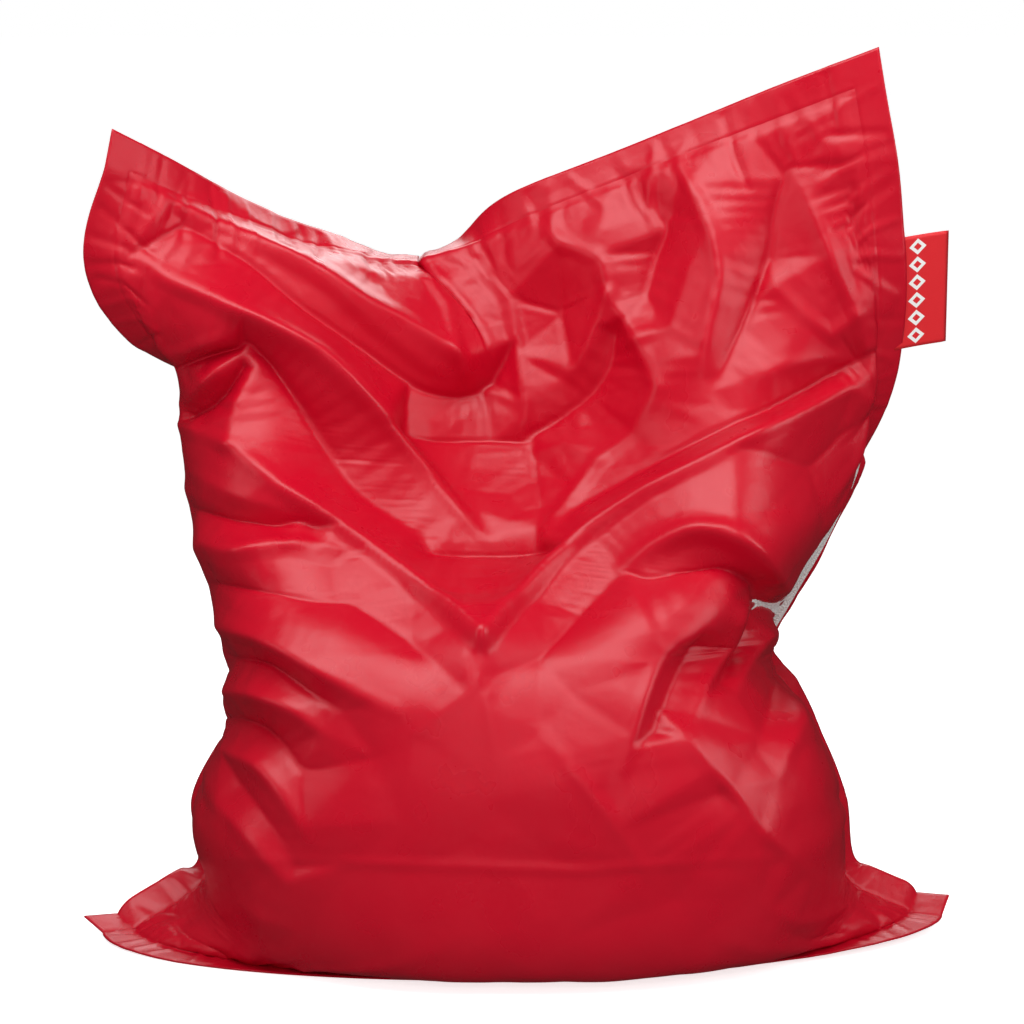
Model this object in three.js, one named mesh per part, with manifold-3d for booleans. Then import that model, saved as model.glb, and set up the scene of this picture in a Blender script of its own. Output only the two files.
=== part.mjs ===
// A bean bag chair: a flat rectangular sack of coated nylon, posed as a seat.
// Two fabric panels are sewn face to face, with a stitched flange all round.
// Loose polystyrene beads fill the pocket. A zip low on the back, under a
// hook-and-loop flap, lets them in. The bag stands on its short side: its two
// bottom corners lie on the floor as fins, and its two top corners rise as ears.
// Millimetres, +Z up, the sitter faces -Y, and X is the width.
import * as THREE from "three";
import { mergeVertices } from "three/addons/utils/BufferGeometryUtils.js";
import Module from "manifold-3d";

const wasm = await Module();
wasm.setup();

// Driving dimensions
const flangeWidth = 52; // from the seam of the pocket to the outer edge
const fabric = 1.5; // one panel with its seam allowance
const plyGap = 1; // between the two panels in the flange
const apart = (plyGap + fabric) / 2; // from the seam's middle plane to a panel's middle
const gap = 0.3; // between other pieces that touch
const nearSeam = 5; // the first grid line outside the bottom seam
const firstRow = 0.004; // and the first one inside it, as a share of the way up
const columns = 18; // grid cells across the pocket
const rows = 26; // grid cells up the pocket
const plumpness = 12; // least half thickness of the filled pocket
const endRound = { side: 8, end: 12 }; // powers that round the pocket off at its seams
const armShape = { power: 1.2, rise: 0.15 }; // how the front swells beside the seat
const nearEdge = { turn: 0.97, low: 0.01, high: 0.98, end: 0.98 }; // as near a seam as directions are taken
const sideFlange = { out: [0.35, 1], back: [0.93, 0.25], raised: 0.12 }; // at the floor, and above it
const endFlange = { dip: -0.25, leanBack: 1.6, from: 0.1, to: 0.55 }; // at the bottom, and at the top
const layer = { flange: 1, seam: 1.5, roll: 2.6 }; // how many panels lie under each on the floor
const seamFold = 0.2; // how far the fabric at a seam points out along the flange
// How far the beads stay from the middle of the fabric, and from a side seam
const beads = { gap: 5, gapShare: 0.3, seamGap: 14, seamShare: 0.6, rim: 0.2 };

// The posed sack hangs on four lines from the bottom seam to the top seam: both
// side seams, and the middle of the front and of the back panel. Each has its
// points at even steps of cloth length. What lies under the floor is pressed flat.
const leftSeam = rail([
  [-570, -10, 6], [-500, 40, 62], [-462, 85, 180], [-418, 135, 300], [-395, 190, 420], [-392, 225, 550],
  [-408, 200, 690], [-455, 110, 812], [-535, 10, 905], [-580, -36, 1012], [-560, -18, 1145],
]);
const rightSeam = rail([
  [596, 50, 18], [515, 60, 72], [478, 90, 186], [430, 140, 300], [395, 190, 410], [425, 196, 540],
  [484, 140, 668], [526, 70, 806], [534, 22, 960], [522, 4, 1110], [492, 18, 1272],
]);
const frontMiddle = rail([
  [0, -215, 0], [0, -342, 40], [0, -356, 205], [-10, -338, 345], [-30, -280, 462], [-30, -150, 522],
  [-20, -24, 590], [-10, 78, 688], [-20, 148, 798], [-50, 204, 900], [-110, 250, 985],
]);
const backMiddle = rail([
  [0, -215, 0], [0, -60, -90], [0, 110, -125], [0, 262, -60], [0, 352, 92], [0, 372, 250],
  [0, 374, 410], [0, 362, 580], [0, 338, 742], [-30, 302, 880], [-110, 250, 985],
]);

// A level section's outline is (1 - |s|^squareness)^fullness, where s is the
// share of the way from the middle to a side seam.
const squareness = series([2.0, 2.3, 2.6, 2.6, 2.4, 2.1, 1.9, 1.8, 1.7, 1.5, 1.35]);
const fullness = series([0.6, 0.5, 0.45, 0.45, 0.5, 0.55, 0.6, 0.7, 0.8, 0.9, 1.0]);
// How far the front swells forward beside the seat, and how far the cloth
// stands out past each side seam.
const armSwell = series([0, 0, 0, 0, 30, 110, 150, 140, 110, 60, 0]);
const leftSwell = series([0, 0, 0.02, 0.04, 0.1, 0.16, 0.22, 0.14, 0.02, 0, 0]);
const rightSwell = series([0, 0, 0.02, 0.08, 0.08, 0.12, 0.1, 0.05, 0, 0, 0]);

// The closure, on a flat field of the back panel. Heights are from the middle
// of the chain, and depths from the middle of the fabric.
const zip = { height: 300, depth: 372, fieldX: 330, fieldZ: 130, fade: 80, slotX: 262, slotZ: 8 };
const chain = { length: 500, inner: 1.0, outer: 3.6, back: -1.6, front: 0.8, stop: 4 };
const tape = { length: 516, inner: 3.9, outer: 15, back: -1.85, front: -1.05 };
const slider = { length: 12, plate: 1.2, half: 5.2, lip: 4.0, lipBack: -0.7, web: 0.7, back: -3.1, front: 2.3 };
const zipThread = { x: 268, z: 12, wide: 0.8, back: 1.05, front: 1.55 };
const loopStrip = { length: 520, low: -31, high: -17, back: 1.05, front: 1.85 };
const hookStrip = { length: 520, low: -31, high: -17, back: 2.15, front: 2.95 };
const flap = { length: 560, low: -34, high: 32, back: 3.25, front: 4.45 };
const flapHem = { length: 560, low: 34, high: 43, back: 1.05, front: 2.55 };
const careLabel = { near: 284, far: 312, low: -38, high: 0, back: 1.05, front: 1.55 };
const sideLabel = { low: 0.753, high: 0.866, width: 62, thick: 1.4, steps: 4 };
const flangeThread = { wide: 0.8, back: 0.4, front: 0.9, outerInset: 8, innerInset: 40 };

function rail(points) {
  const knots = points.map((p) => new THREE.Vector3(...p));
  const curve = new THREE.CatmullRomCurve3(knots, false, "catmullrom", 0.5);
  return (w) => curve.getPoint(w);
}

function series(values) {
  const curve = rail(values.map((value) => [value, 0, 0]));
  return (w) => curve(w).x;
}

const smooth = (from, to, value) => THREE.MathUtils.smoothstep(value, from, to);
const seamShare = (turn) => Math.sin((turn * Math.PI) / 2);

// The middle of the fabric over the pocket. side is -1 for the front and +1
// for the back, turn runs from -1 to 1 across, and w from 0 to 1 up.
function pocket(side, turn, w) {
  const left = leftSeam(w);
  const right = rightSeam(w);
  const middle = left.clone().add(right).multiplyScalar(0.5);
  const half = right.clone().sub(left).multiplyScalar(0.5);
  const s = seamShare(turn);
  const crown = side < 0 ? frontMiddle(w) : backMiddle(w);
  const swell = (turn < 0 ? leftSwell : rightSwell)(w);
  const share = Math.pow(Math.max(0, 1 - Math.pow(Math.abs(s), squareness(w))), fullness(w));
  const p = middle.clone().addScaledVector(half, s + swell * Math.sin(Math.PI * turn));
  p.addScaledVector(crown.sub(middle), share);
  const plump = (1 - Math.abs(turn) ** endRound.side) * (1 - Math.abs(2 * w - 1) ** endRound.end);
  p.y += side * plumpness * plump;
  if (side < 0) {
    const arm = armSwell(w) * Math.sin(Math.PI * Math.abs(s) ** armShape.power) ** 2;
    p.y -= arm;
    p.z += armShape.rise * arm;
  } else {
    const besideField = smooth(zip.fieldX, zip.fieldX + zip.fade, Math.abs(p.x));
    const aboveField = smooth(zip.fieldZ, zip.fieldZ + zip.fade, Math.abs(p.z - zip.height));
    p.y += (zip.depth - p.y) * (1 - besideField) * (1 - aboveField);
  }
  return p;
}

function difference(move, at, low, high) {
  const step = 0.01;
  return move(Math.min(high, at + step)).sub(move(Math.max(low, at - step)));
}

// The way out of the bag, square to the fabric, a little inside any seam
function outward(side, turn, w) {
  const t = THREE.MathUtils.clamp(turn, -nearEdge.turn, nearEdge.turn);
  const v = THREE.MathUtils.clamp(w, nearEdge.low, nearEdge.high);
  const across = difference((x) => pocket(side, x, v), t, -1, 1);
  const up = difference((x) => pocket(side, t, x), v, 0, 1);
  return across.cross(up).multiplyScalar(-side).normalize();
}

// Away from the pocket, in the plane of the flange: past a side seam, and past
// the bottom or the top seam.
function pastSide(turn, w) {
  const hand = Math.sign(turn);
  const line = hand < 0 ? leftSeam : rightSeam;
  const along = difference(line, w, 0, 1).normalize();
  const raised = smooth(0, sideFlange.raised, w);
  const out = THREE.MathUtils.lerp(...sideFlange.out, raised);
  const away = new THREE.Vector3(hand * out, THREE.MathUtils.lerp(...sideFlange.back, raised), 0);
  return away.addScaledVector(along, -away.dot(along)).normalize();
}

function alongEnd(turn, w) {
  const t = THREE.MathUtils.clamp(turn, -nearEdge.end, nearEdge.end);
  return difference((x) => pocket(-1, x, w), t, -1, 1).normalize();
}

function pastEnd(turn, w) {
  const along = alongEnd(turn, w);
  if (w < 0.5) return new THREE.Vector3(along.y, -along.x, endFlange.dip).normalize();
  const away = leftSeam(1).sub(leftSeam(0.9)).add(rightSeam(1)).sub(rightSeam(0.9)).normalize();
  away.y += endFlange.leanBack * (1 - smooth(endFlange.from, endFlange.to, Math.abs(turn)));
  return away.addScaledVector(along, -away.dot(along)).normalize();
}

// The front of the flange, square to it
function flangeFront(turn, w, atSide, atEnd) {
  const facing = new THREE.Vector3();
  if (atSide) {
    const line = turn < 0 ? leftSeam : rightSeam;
    const along = difference(line, w, 0, 1).normalize();
    facing.add(pastSide(turn, w).cross(along).multiplyScalar(Math.sign(turn)).normalize());
  }
  if (atEnd) {
    facing.add(pastEnd(turn, w).cross(alongEnd(turn, w)).multiplyScalar(w < 0.5 ? 1 : -1).normalize());
  }
  return facing.normalize();
}

// One panel's grid lines. reach is how far a line lies out past the seam.
function gridLines() {
  const across = [{ turn: -1, reach: flangeWidth }];
  for (let i = 0; i <= columns; i++) across.push({ turn: (2 * i) / columns - 1, reach: 0 });
  across.push({ turn: 1, reach: flangeWidth });
  const up = [flangeWidth, nearSeam, 0].map((reach) => ({ w: 0, reach }));
  up.push({ w: firstRow, reach: 0 });
  for (let j = 1; j <= rows; j++) up.push({ w: j / rows, reach: 0 });
  up.push({ w: 1, reach: flangeWidth });
  return { across, up };
}

// One point of a panel: the middle of the fabric, and the way out through it.
// Each panel lies on its own side of the seam's middle plane.
function panelPoint(side, column, row) {
  const atSide = Math.abs(column.turn) === 1;
  const atEnd = row.w === 0 || row.w === 1;
  const middle = pocket(side, column.turn, row.w);
  if (!atSide && !atEnd) {
    const out = outward(side, column.turn, row.w);
    return onFloor(side, { middle: middle.addScaledVector(out, apart), out, layer: layer.roll });
  }
  const facing = flangeFront(column.turn, row.w, atSide, atEnd).multiplyScalar(-side);
  const past = new THREE.Vector3();
  const reached = new THREE.Vector3();
  if (atSide) {
    const away = pastSide(column.turn, row.w);
    past.add(away);
    reached.addScaledVector(away, column.reach);
  }
  if (atEnd) {
    const away = pastEnd(column.turn, row.w);
    past.add(away);
    reached.addScaledVector(away, row.reach);
  }
  middle.add(reached).addScaledVector(facing, apart);
  const onSeam = column.reach === 0 && row.reach === 0;
  if (!onSeam) return onFloor(side, { middle, out: facing, layer: layer.flange });
  const folded = facing.add(outward(side, column.turn, row.w)).addScaledVector(past, seamFold).normalize();
  return onFloor(side, { middle, out: folded, layer: layer.seam });
}

// The back panel lies on the floor. The front panel's flange lies on it, and
// the front's lowest roll lies on that.
function onFloor(side, point) {
  const lowest = side > 0 ? fabric / 2 : fabric / 2 + point.layer * (fabric + plyGap);
  if (point.middle.z < lowest) {
    point.middle.z = lowest;
    if (side > 0) point.out.set(0, 0, -1);
  }
  return point;
}

function panelGrid(side) {
  const { across, up } = gridLines();
  return up.map((row) => across.map((column) => panelPoint(side, column, row)));
}

const shifted = (grid, amount) =>
  grid.map((line) => line.map((point) => point.middle.clone().addScaledVector(point.out, amount)));

function meshOf(points, faces) {
  const geometry = new THREE.BufferGeometry();
  const numbers = points.flatMap((p) => [p.x, p.y, p.z]);
  geometry.setAttribute("position", new THREE.Float32BufferAttribute(numbers, 3));
  geometry.setIndex(faces);
  return geometry;
}

// A closed body between two like grids of points. over is on the front.
function bodyBetween(over, under) {
  const wide = over[0].length;
  const high = over.length;
  const points = [...over.flat(), ...under.flat()];
  const lower = wide * high;
  const faces = [];
  const quad = (a, b, c, d) => faces.push(a, b, c, a, c, d);
  for (let j = 0; j < high - 1; j++) {
    for (let i = 0; i < wide - 1; i++) {
      const a = j * wide + i;
      quad(a, a + 1, a + wide + 1, a + wide);
      quad(lower + a, lower + a + wide, lower + a + wide + 1, lower + a + 1);
    }
  }
  for (let i = 0; i < wide - 1; i++) {
    const top = (high - 1) * wide + i;
    quad(i + 1, i, lower + i, lower + i + 1);
    quad(top, top + 1, lower + top + 1, lower + top);
  }
  for (let j = 0; j < high - 1; j++) {
    const left = j * wide;
    const right = left + wide - 1;
    quad(left, left + wide, lower + left + wide, lower + left);
    quad(right + wide, right, lower + right, lower + right + wide);
  }
  return meshOf(points, faces);
}

function frontPanel() {
  const grid = panelGrid(-1);
  return bodyBetween(shifted(grid, fabric / 2), shifted(grid, -fabric / 2));
}

function toSolid(geometry) {
  const bare = geometry.clone();
  bare.deleteAttribute("normal");
  bare.deleteAttribute("uv");
  const merged = mergeVertices(bare, 1e-4);
  const mesh = new wasm.Mesh({
    numProp: 3,
    vertProperties: Float32Array.from(merged.attributes.position.array),
    triVerts: Uint32Array.from(merged.index.array),
  });
  return new wasm.Manifold(mesh);
}

function toGeometry(solid) {
  const mesh = solid.getMesh();
  const geometry = new THREE.BufferGeometry();
  geometry.setAttribute("position", new THREE.BufferAttribute(mesh.vertProperties, 3));
  geometry.setIndex(new THREE.BufferAttribute(mesh.triVerts, 1));
  return geometry;
}

// A box of the closure
function closureBox(left, right, low, high, back, front) {
  const box = new THREE.BoxGeometry(right - left, front - back, high - low);
  const depth = zip.depth + apart + (back + front) / 2;
  return box.translate((left + right) / 2, depth, zip.height + (low + high) / 2);
}

function backPanel() {
  const grid = panelGrid(1);
  const panel = bodyBetween(shifted(grid, -fabric / 2), shifted(grid, fabric / 2));
  const slot = closureBox(-zip.slotX, zip.slotX, -zip.slotZ, zip.slotZ, -fabric * 2, fabric * 2);
  return toGeometry(toSolid(panel).subtract(toSolid(slot)));
}

// The beads, drawn in from both panels on the same grid, and by less where the
// pocket is thin. Beside each side seam they end halfway to the seam.
function beadFill() {
  const faces = [-1, 1].map((side) => {
    const lines = [];
    for (let j = 1; j < rows; j++) lines.push(beadLine(side, j / rows));
    return lines;
  });
  return bodyBetween(...faces);
}

function beadLine(side, w) {
  const line = [beadEdge(side, -1, w)];
  for (let i = 1; i < columns; i++) {
    const turn = (2 * i) / columns - 1;
    const here = panelPoint(side, { turn, reach: 0 }, { w, reach: 0 });
    const depth = here.middle.distanceTo(pocket(-side, turn, w));
    line.push(here.middle.addScaledVector(here.out, -Math.min(beads.gap, beads.gapShare * depth)));
  }
  line.push(beadEdge(side, 1, w));
  return line;
}

function beadEdge(side, hand, w) {
  const turn = hand * (1 - 2 / columns);
  const across = pocket(1, turn, w).sub(pocket(-1, turn, w));
  const inset = Math.min(beads.seamGap, beads.seamShare * across.length());
  const edge = pocket(1, hand, w).addScaledVector(pastSide(hand, w), -inset);
  return edge.addScaledVector(across.normalize(), beads.rim * side);
}

// A point of the panel grid at a broken column and row, exactly on the cell's
// two triangles, with the way out square to the triangle
function onCell(grid, column, row) {
  const i = Math.min(Math.floor(column), grid[0].length - 2);
  const j = Math.min(Math.floor(row), grid.length - 2);
  const u = column - i;
  const v = row - j;
  const near = grid[j][i];
  const far = grid[j + 1][i + 1];
  const corner = u >= v ? grid[j][i + 1] : grid[j + 1][i];
  const first = corner.clone().sub(near);
  const second = far.clone().sub(corner);
  const point = near.clone().addScaledVector(first, Math.max(u, v)).addScaledVector(second, Math.min(u, v));
  const out = first.cross(second).multiplyScalar(u >= v ? 1 : -1).normalize();
  return { point, out };
}

// The places between two columns, or two rows, where a line crosses a cell's
// edge or its diagonal
function crossings(from, to, part) {
  const places = [];
  for (let k = Math.floor(from); k < to; k++) {
    if (k > from) places.push(k);
    if (part > 0 && k + part > from && k + part < to) places.push(k + part);
  }
  return places;
}

// A row of stitching: one thread laid round the front of the flange, inset from
// its edge
function threadRing(inset) {
  const grid = shifted(panelGrid(-1), fabric / 2);
  const share = inset / flangeWidth;
  const low = inset / (flangeWidth - nearSeam);
  const right = grid[0].length - 1 - share;
  const high = grid.length - 1 - share;
  const path = [[share, low]];
  crossings(share, right, low).forEach((column) => path.push([column, low]));
  path.push([right, low]);
  crossings(low, high, 1 - share).forEach((row) => path.push([right, row]));
  path.push([right, high]);
  crossings(share, right, 1 - share).reverse().forEach((column) => path.push([column, high]));
  path.push([share, high]);
  crossings(low, high, share).reverse().forEach((row) => path.push([share, row]));
  return ringAlong(path.map(([column, row]) => onCell(grid, column, row)));
}

// A closed ring with a small oblong section, along points on the fabric
function ringAlong(path) {
  const count = path.length;
  const { wide, back, front } = flangeThread;
  const section = [[-wide / 2, back], [wide / 2, back], [wide / 2, front], [-wide / 2, front]];
  const points = [];
  const faces = [];
  path.forEach(({ point, out }, k) => {
    const before = path[(k + count - 1) % count];
    const after = path[(k + 1) % count];
    const along = after.point.clone().sub(before.point).normalize();
    const up = out.clone().add(after.out).add(before.out).normalize();
    const across = up.clone().cross(along).normalize();
    for (const [x, y] of section) {
      points.push(point.clone().addScaledVector(across, x).addScaledVector(up, y));
    }
    for (let e = 0; e < 4; e++) {
      const a = k * 4 + e;
      const b = k * 4 + ((e + 1) % 4);
      const c = ((k + 1) % count) * 4 + ((e + 1) % 4);
      const d = ((k + 1) % count) * 4 + e;
      faces.push(a, b, c, a, c, d);
    }
  });
  return meshOf(points, faces);
}

// A folded ribbon standing out from the right edge of the flange
function ribbonLabel() {
  const edge = (w, reach, level) => {
    const facing = flangeFront(1, w, true, false);
    const point = rightSeam(w).addScaledVector(pastSide(1, w), reach);
    return point.addScaledVector(facing, level);
  };
  const face = (level) => {
    const lines = [];
    for (let k = 0; k <= sideLabel.steps; k++) {
      const w = THREE.MathUtils.lerp(sideLabel.low, sideLabel.high, k / sideLabel.steps);
      const near = flangeWidth + plyGap;
      lines.push([edge(w, near, level), edge(w, near + sideLabel.width, level)]);
    }
    return lines;
  };
  return bodyBetween(face(sideLabel.thick / 2), face(-sideLabel.thick / 2));
}

// An outline in depth and height, drawn out along the chain
function alongChain(outline, length, x) {
  const shape = new THREE.Shape(outline.map(([depth, height]) => new THREE.Vector2(depth, height)));
  const body = new THREE.ExtrudeGeometry(shape, { depth: length, bevelEnabled: false });
  body.rotateX(Math.PI / 2).rotateZ(Math.PI / 2);
  return body.translate(x - length / 2, zip.depth + apart, zip.height);
}

// Two plates joined by a web between the rows of the chain. The front plate's
// edges fold back past the rows.
function sliderBody() {
  const { half, lip, lipBack, web, back, front, plate } = slider;
  const inner = back + plate;
  const outer = front - plate;
  const upper = [
    [back, half], [inner, half], [inner, web], [outer, web],
    [outer, lip], [lipBack, lip], [lipBack, half], [front, half],
  ];
  const lower = upper.map(([depth, height]) => [depth, -height]).reverse();
  return alongChain([...upper, ...lower], slider.length, -chain.length / 2 + slider.length / 2);
}

function zipStitches() {
  const { x, z, wide, back, front } = zipThread;
  const shape = rectangle(x + wide / 2, z + wide / 2);
  shape.holes.push(rectangle(x - wide / 2, z - wide / 2));
  const ring = new THREE.ExtrudeGeometry(shape, { depth: front - back, bevelEnabled: false });
  return ring.rotateX(Math.PI / 2).translate(0, zip.depth + apart + front, zip.height);
}

function rectangle(x, y) {
  return new THREE.Shape([[-x, -y], [x, -y], [x, y], [-x, y]].map((p) => new THREE.Vector2(...p)));
}

function centredBox({ length, low, high, back, front }) {
  return closureBox(-length / 2, length / 2, low, high, back, front);
}

function mirrored({ length, inner, outer, back, front }, hand) {
  const heights = hand > 0 ? [inner, outer] : [-outer, -inner];
  return closureBox(-length / 2, length / 2, ...heights, back, front);
}

function zipStop(hand) {
  const near = hand * (chain.length / 2 + gap);
  const far = near + hand * chain.stop;
  const ends = [Math.min(near, far), Math.max(near, far)];
  return closureBox(...ends, -chain.outer, chain.outer, chain.back, chain.front);
}

function look(color, roughness, metalness = 0) {
  return new THREE.MeshStandardMaterial({ color, roughness, metalness });
}

const bag = new THREE.Group();

function add(name, geometry, material) {
  const mesh = new THREE.Mesh(geometry, material);
  mesh.name = name;
  bag.add(mesh);
}

const red = 0xc8102e;
const darkRed = 0x8e0a20;
add("front_panel", frontPanel(), look(red, 0.3));
add("back_panel", backPanel(), look(red, 0.3));
add("bead_fill", beadFill(), look(0xf2f2ee, 0.8));
add("edge_stitching", threadRing(flangeThread.outerInset), look(darkRed, 0.6));
add("seam_stitching", threadRing(flangeThread.innerInset), look(darkRed, 0.6));
add("side_label", ribbonLabel(), look(0xe6282e, 0.5));
add("zip_upper_tape", mirrored(tape, 1), look(darkRed, 0.7));
add("zip_lower_tape", mirrored(tape, -1), look(darkRed, 0.7));
add("zip_upper_coil", mirrored(chain, 1), look(darkRed, 0.4));
add("zip_lower_coil", mirrored(chain, -1), look(darkRed, 0.4));
add("zip_left_stop", zipStop(-1), look(0xb5b8bc, 0.3, 1));
add("zip_right_stop", zipStop(1), look(0xb5b8bc, 0.3, 1));
add("zip_slider", sliderBody(), look(0xb5b8bc, 0.3, 1));
add("zip_stitching", zipStitches(), look(darkRed, 0.6));
add("loop_strip", centredBox(loopStrip), look(darkRed, 0.95));
add("closure_flap", centredBox(flap), look(red, 0.3));
add("hook_strip", centredBox(hookStrip), look(darkRed, 0.8));
add("flap_hem", centredBox(flapHem), look(red, 0.3));
const { near, far, low, high, back, front } = careLabel;
add("care_label", closureBox(near, far, low, high, back, front), look(0xf4f4f2, 0.7));

// The origin is under the middle of the bag, on the floor.
const box = new THREE.Box3().setFromObject(bag);
const centre = box.getCenter(new THREE.Vector3());
bag.position.set(-centre.x, -centre.y, -box.min.z);

export default bag;
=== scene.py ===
# A bean bag chair in glossy red nylon: two panels sewn face to face, relaxed as cloth
# over their beads, with flange stitching, a ribbon label and a zipped closure at the back.
import math
import time
import bmesh
import bpy
import mathutils
import numpy as np
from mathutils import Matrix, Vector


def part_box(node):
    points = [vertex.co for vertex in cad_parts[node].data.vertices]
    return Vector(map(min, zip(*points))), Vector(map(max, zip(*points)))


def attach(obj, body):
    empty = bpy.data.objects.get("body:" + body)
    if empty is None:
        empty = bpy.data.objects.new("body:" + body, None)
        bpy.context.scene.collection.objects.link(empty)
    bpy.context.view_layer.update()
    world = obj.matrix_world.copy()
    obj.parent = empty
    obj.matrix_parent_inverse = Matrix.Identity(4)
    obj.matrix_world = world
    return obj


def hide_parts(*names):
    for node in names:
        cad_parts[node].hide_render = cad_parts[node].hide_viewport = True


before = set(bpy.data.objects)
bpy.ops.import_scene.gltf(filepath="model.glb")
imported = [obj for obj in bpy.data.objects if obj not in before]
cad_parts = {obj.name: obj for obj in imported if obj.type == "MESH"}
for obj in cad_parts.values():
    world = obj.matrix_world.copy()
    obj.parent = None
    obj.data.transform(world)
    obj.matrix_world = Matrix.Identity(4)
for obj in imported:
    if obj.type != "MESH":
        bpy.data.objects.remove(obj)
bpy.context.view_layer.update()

mm = 0.001


def nodeBox(name):
    low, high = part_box(name)
    return np.array(low, float), np.array(high, float)


# The camera stands in front, a little above the seat, and looks slightly down.
view = {
    "target": np.array([-0.0113, 0.0, 0.6416]),
    "elevation": math.radians(8),
    "distance": 5.2,
    "lens": 123,
    "level": 63.6,  # centimetres from the target down to the floor's line, as seen
}
viewUp = np.array([0, math.sin(view["elevation"]), math.cos(view["elevation"])])
viewBack = np.array([0, -math.cos(view["elevation"]), math.sin(view["elevation"])])


def makeCamera():
    data = bpy.data.cameras.new("camera")
    data.lens = view["lens"]
    data.clip_end = 1000
    camera = bpy.data.objects.new("camera", data)
    bpy.context.scene.collection.objects.link(camera)
    camera.location = view["target"] + viewBack * view["distance"]
    camera.rotation_euler = (math.pi / 2 - view["elevation"], 0, 0)
    bpy.context.scene.camera = camera


def onElevation(points):
    # front elevation: centimetres across and centimetres up, each stretched by how much
    # nearer than the target the point is, so that a near fold is named where it is seen
    away = points - view["target"]
    scale = 100 * view["distance"] / (view["distance"] - away @ viewBack)
    return np.stack([away[..., 0] * scale, away @ viewUp * scale + view["level"]], -1)


# Four lines from the bottom seam to the top seam, in millimetres, each with its points
# at even steps of cloth: both side seams, and the middle of the front and back panels.
pose = {
    "leftSeam": [
        (-572, -10, 8), (-466, 62, 76), (-476, 98, 186), (-424, 135, 300), (-395, 190, 420),
        (-392, 225, 550), (-408, 200, 690), (-455, 110, 812), (-535, 10, 905), (-580, -36, 1008),
        (-562, -18, 1138)],
    "rightSeam": [
        (596, 50, 18), (498, 66, 70), (482, 92, 186), (436, 140, 300), (382, 190, 410), (425, 196, 540),
        (484, 140, 668), (524, 70, 806), (528, 22, 958), (514, 4, 1104), (490, 18, 1257)],
    "frontMiddle": [
        (0, -215, 0), (0, -342, 40), (0, -356, 205), (-10, -338, 345), (-30, -280, 462), (-30, -150, 522),
        (-20, -24, 590), (-10, 78, 688), (-20, 148, 798), (-60, 204, 900), (-145, 250, 985)],
    "backMiddle": [
        (0, -215, 0), (0, -60, -90), (0, 110, -125), (0, 262, -60), (0, 352, 92), (0, 372, 250),
        (0, 374, 410), (0, 362, 580), (0, 338, 742), (-40, 302, 880), (-145, 250, 985)],
    "leftSquareness": (2.0, 2.3, 2.6, 2.6, 2.4, 2.1, 1.9, 1.8, 1.7, 1.5, 1.35),
    "rightSquareness": (2.0, 2.3, 2.6, 2.6, 2.4, 2.1, 1.9, 1.8, 1.6, 1.25, 0.88),
    "fullness": (0.6, 0.5, 0.45, 0.45, 0.5, 0.55, 0.6, 0.7, 0.8, 0.9, 1.0),
    # how far the flange leans back from straight out, in radians
    "leftLean": (1.0, 1.0, 1.15, 1.4, 1.6, 1.6, 1.5, 1.1, 0.4, 0.25, 0.25),
    "rightLean": (1.1, 1.0, 1.1, 1.15, 1.3, 1.3, 1.1, 0.7, 0.35, 0.25, 0.25),
    # how far the front swells forward beside the seat, and both sides past their seams
    "armSwell": (0, 0, 0, 0, 30, 110, 150, 140, 110, 60, 0),
    "leftSwell": (0, 0.02, 0.06, 0.09, 0.20, 0.29, 0.31, 0.19, 0.02, 0, 0),
    "rightSwell": (0, 0.02, 0.07, 0.12, 0.02, 0.12, 0.16, 0.08, 0, 0, 0),
}
# How the surface rounds off: where it starts to lie flat, and how bluntly it ends
rounding = {"flatFrom": 0.72, "dip": 0.002, "side": 8, "end": 12, "armPower": 1.2, "armRise": 0.15}
# The flange: raised at the fins, carried straight on at the ears, and leaning back
# round the middle of the top. All but the lift are shares of the pocket, up or across.
rim = {
    "lift": 0.8,
    "liftFrom": 0.02,
    "liftTo": (0.05, 0.15),
    "ear": 0.86,
    "straight": 0.04,
    "leant": (0.05, 0.34),
}
cloth = {
    "pocketWidth": 1296,
    "pocketLength": 1696,
    "across": 252,  # grid cells across the pocket
    "up": 328,
    "flange": 52,
    "flangeCells": 12,
    "thick": 0.5,
    "plyGap": 1.6,  # between the middles of the two plies
    "plump": 12,
    "floor": 1.5,  # the lowest that the middle of a ply lies
}
field = {
    "height": 300,
    "depth": 373.25,
    "halfX": 330,
    "halfZ": 130,
    "fade": 150,
    "strip": (0, 1.45, -24),  # the loop strip's middle, from the field's
}

# the frame's origin is under the bag's middle: the loop strip on the field gives the shift
stripLow, stripHigh = nodeBox("loop_strip")
shift = (stripLow + stripHigh) / 2 / mm - np.array([0, field["depth"], field["height"]]) - field["strip"]


def spline(points, w):
    # a Catmull-Rom curve through evenly spaced points, its ends carried straight on
    p = np.array(points, float)
    if p.ndim == 1:
        p = p[:, None]
    p = np.vstack([2 * p[0] - p[1], p, 2 * p[-1] - p[-2]])
    at = np.clip(np.asarray(w, float), 0, 1) * (len(p) - 3)
    k = np.minimum(at.astype(int), len(p) - 4)
    t = (at - k)[..., None]
    a, b, c, d = p[k], p[k + 1], p[k + 2], p[k + 3]
    return 0.5 * (2 * b + (c - a) * t + (2 * a - 5 * b + 4 * c - d) * t**2 + (3 * b - a - 3 * c + d) * t**3)


def smooth(low, high, x):
    t = np.clip((x - low) / (high - low), 0, 1)
    return t * t * (3 - 2 * t)


def unit(v):
    return v / np.maximum(np.linalg.norm(v, axis=-1, keepdims=True), 1e-12)


def bySide(turn, left, right, w):
    # the left list's value left of the middle, and the right list's on the right
    return np.where(turn < 0, spline(pose[left], w)[..., 0], spline(pose[right], w)[..., 0])


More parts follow.
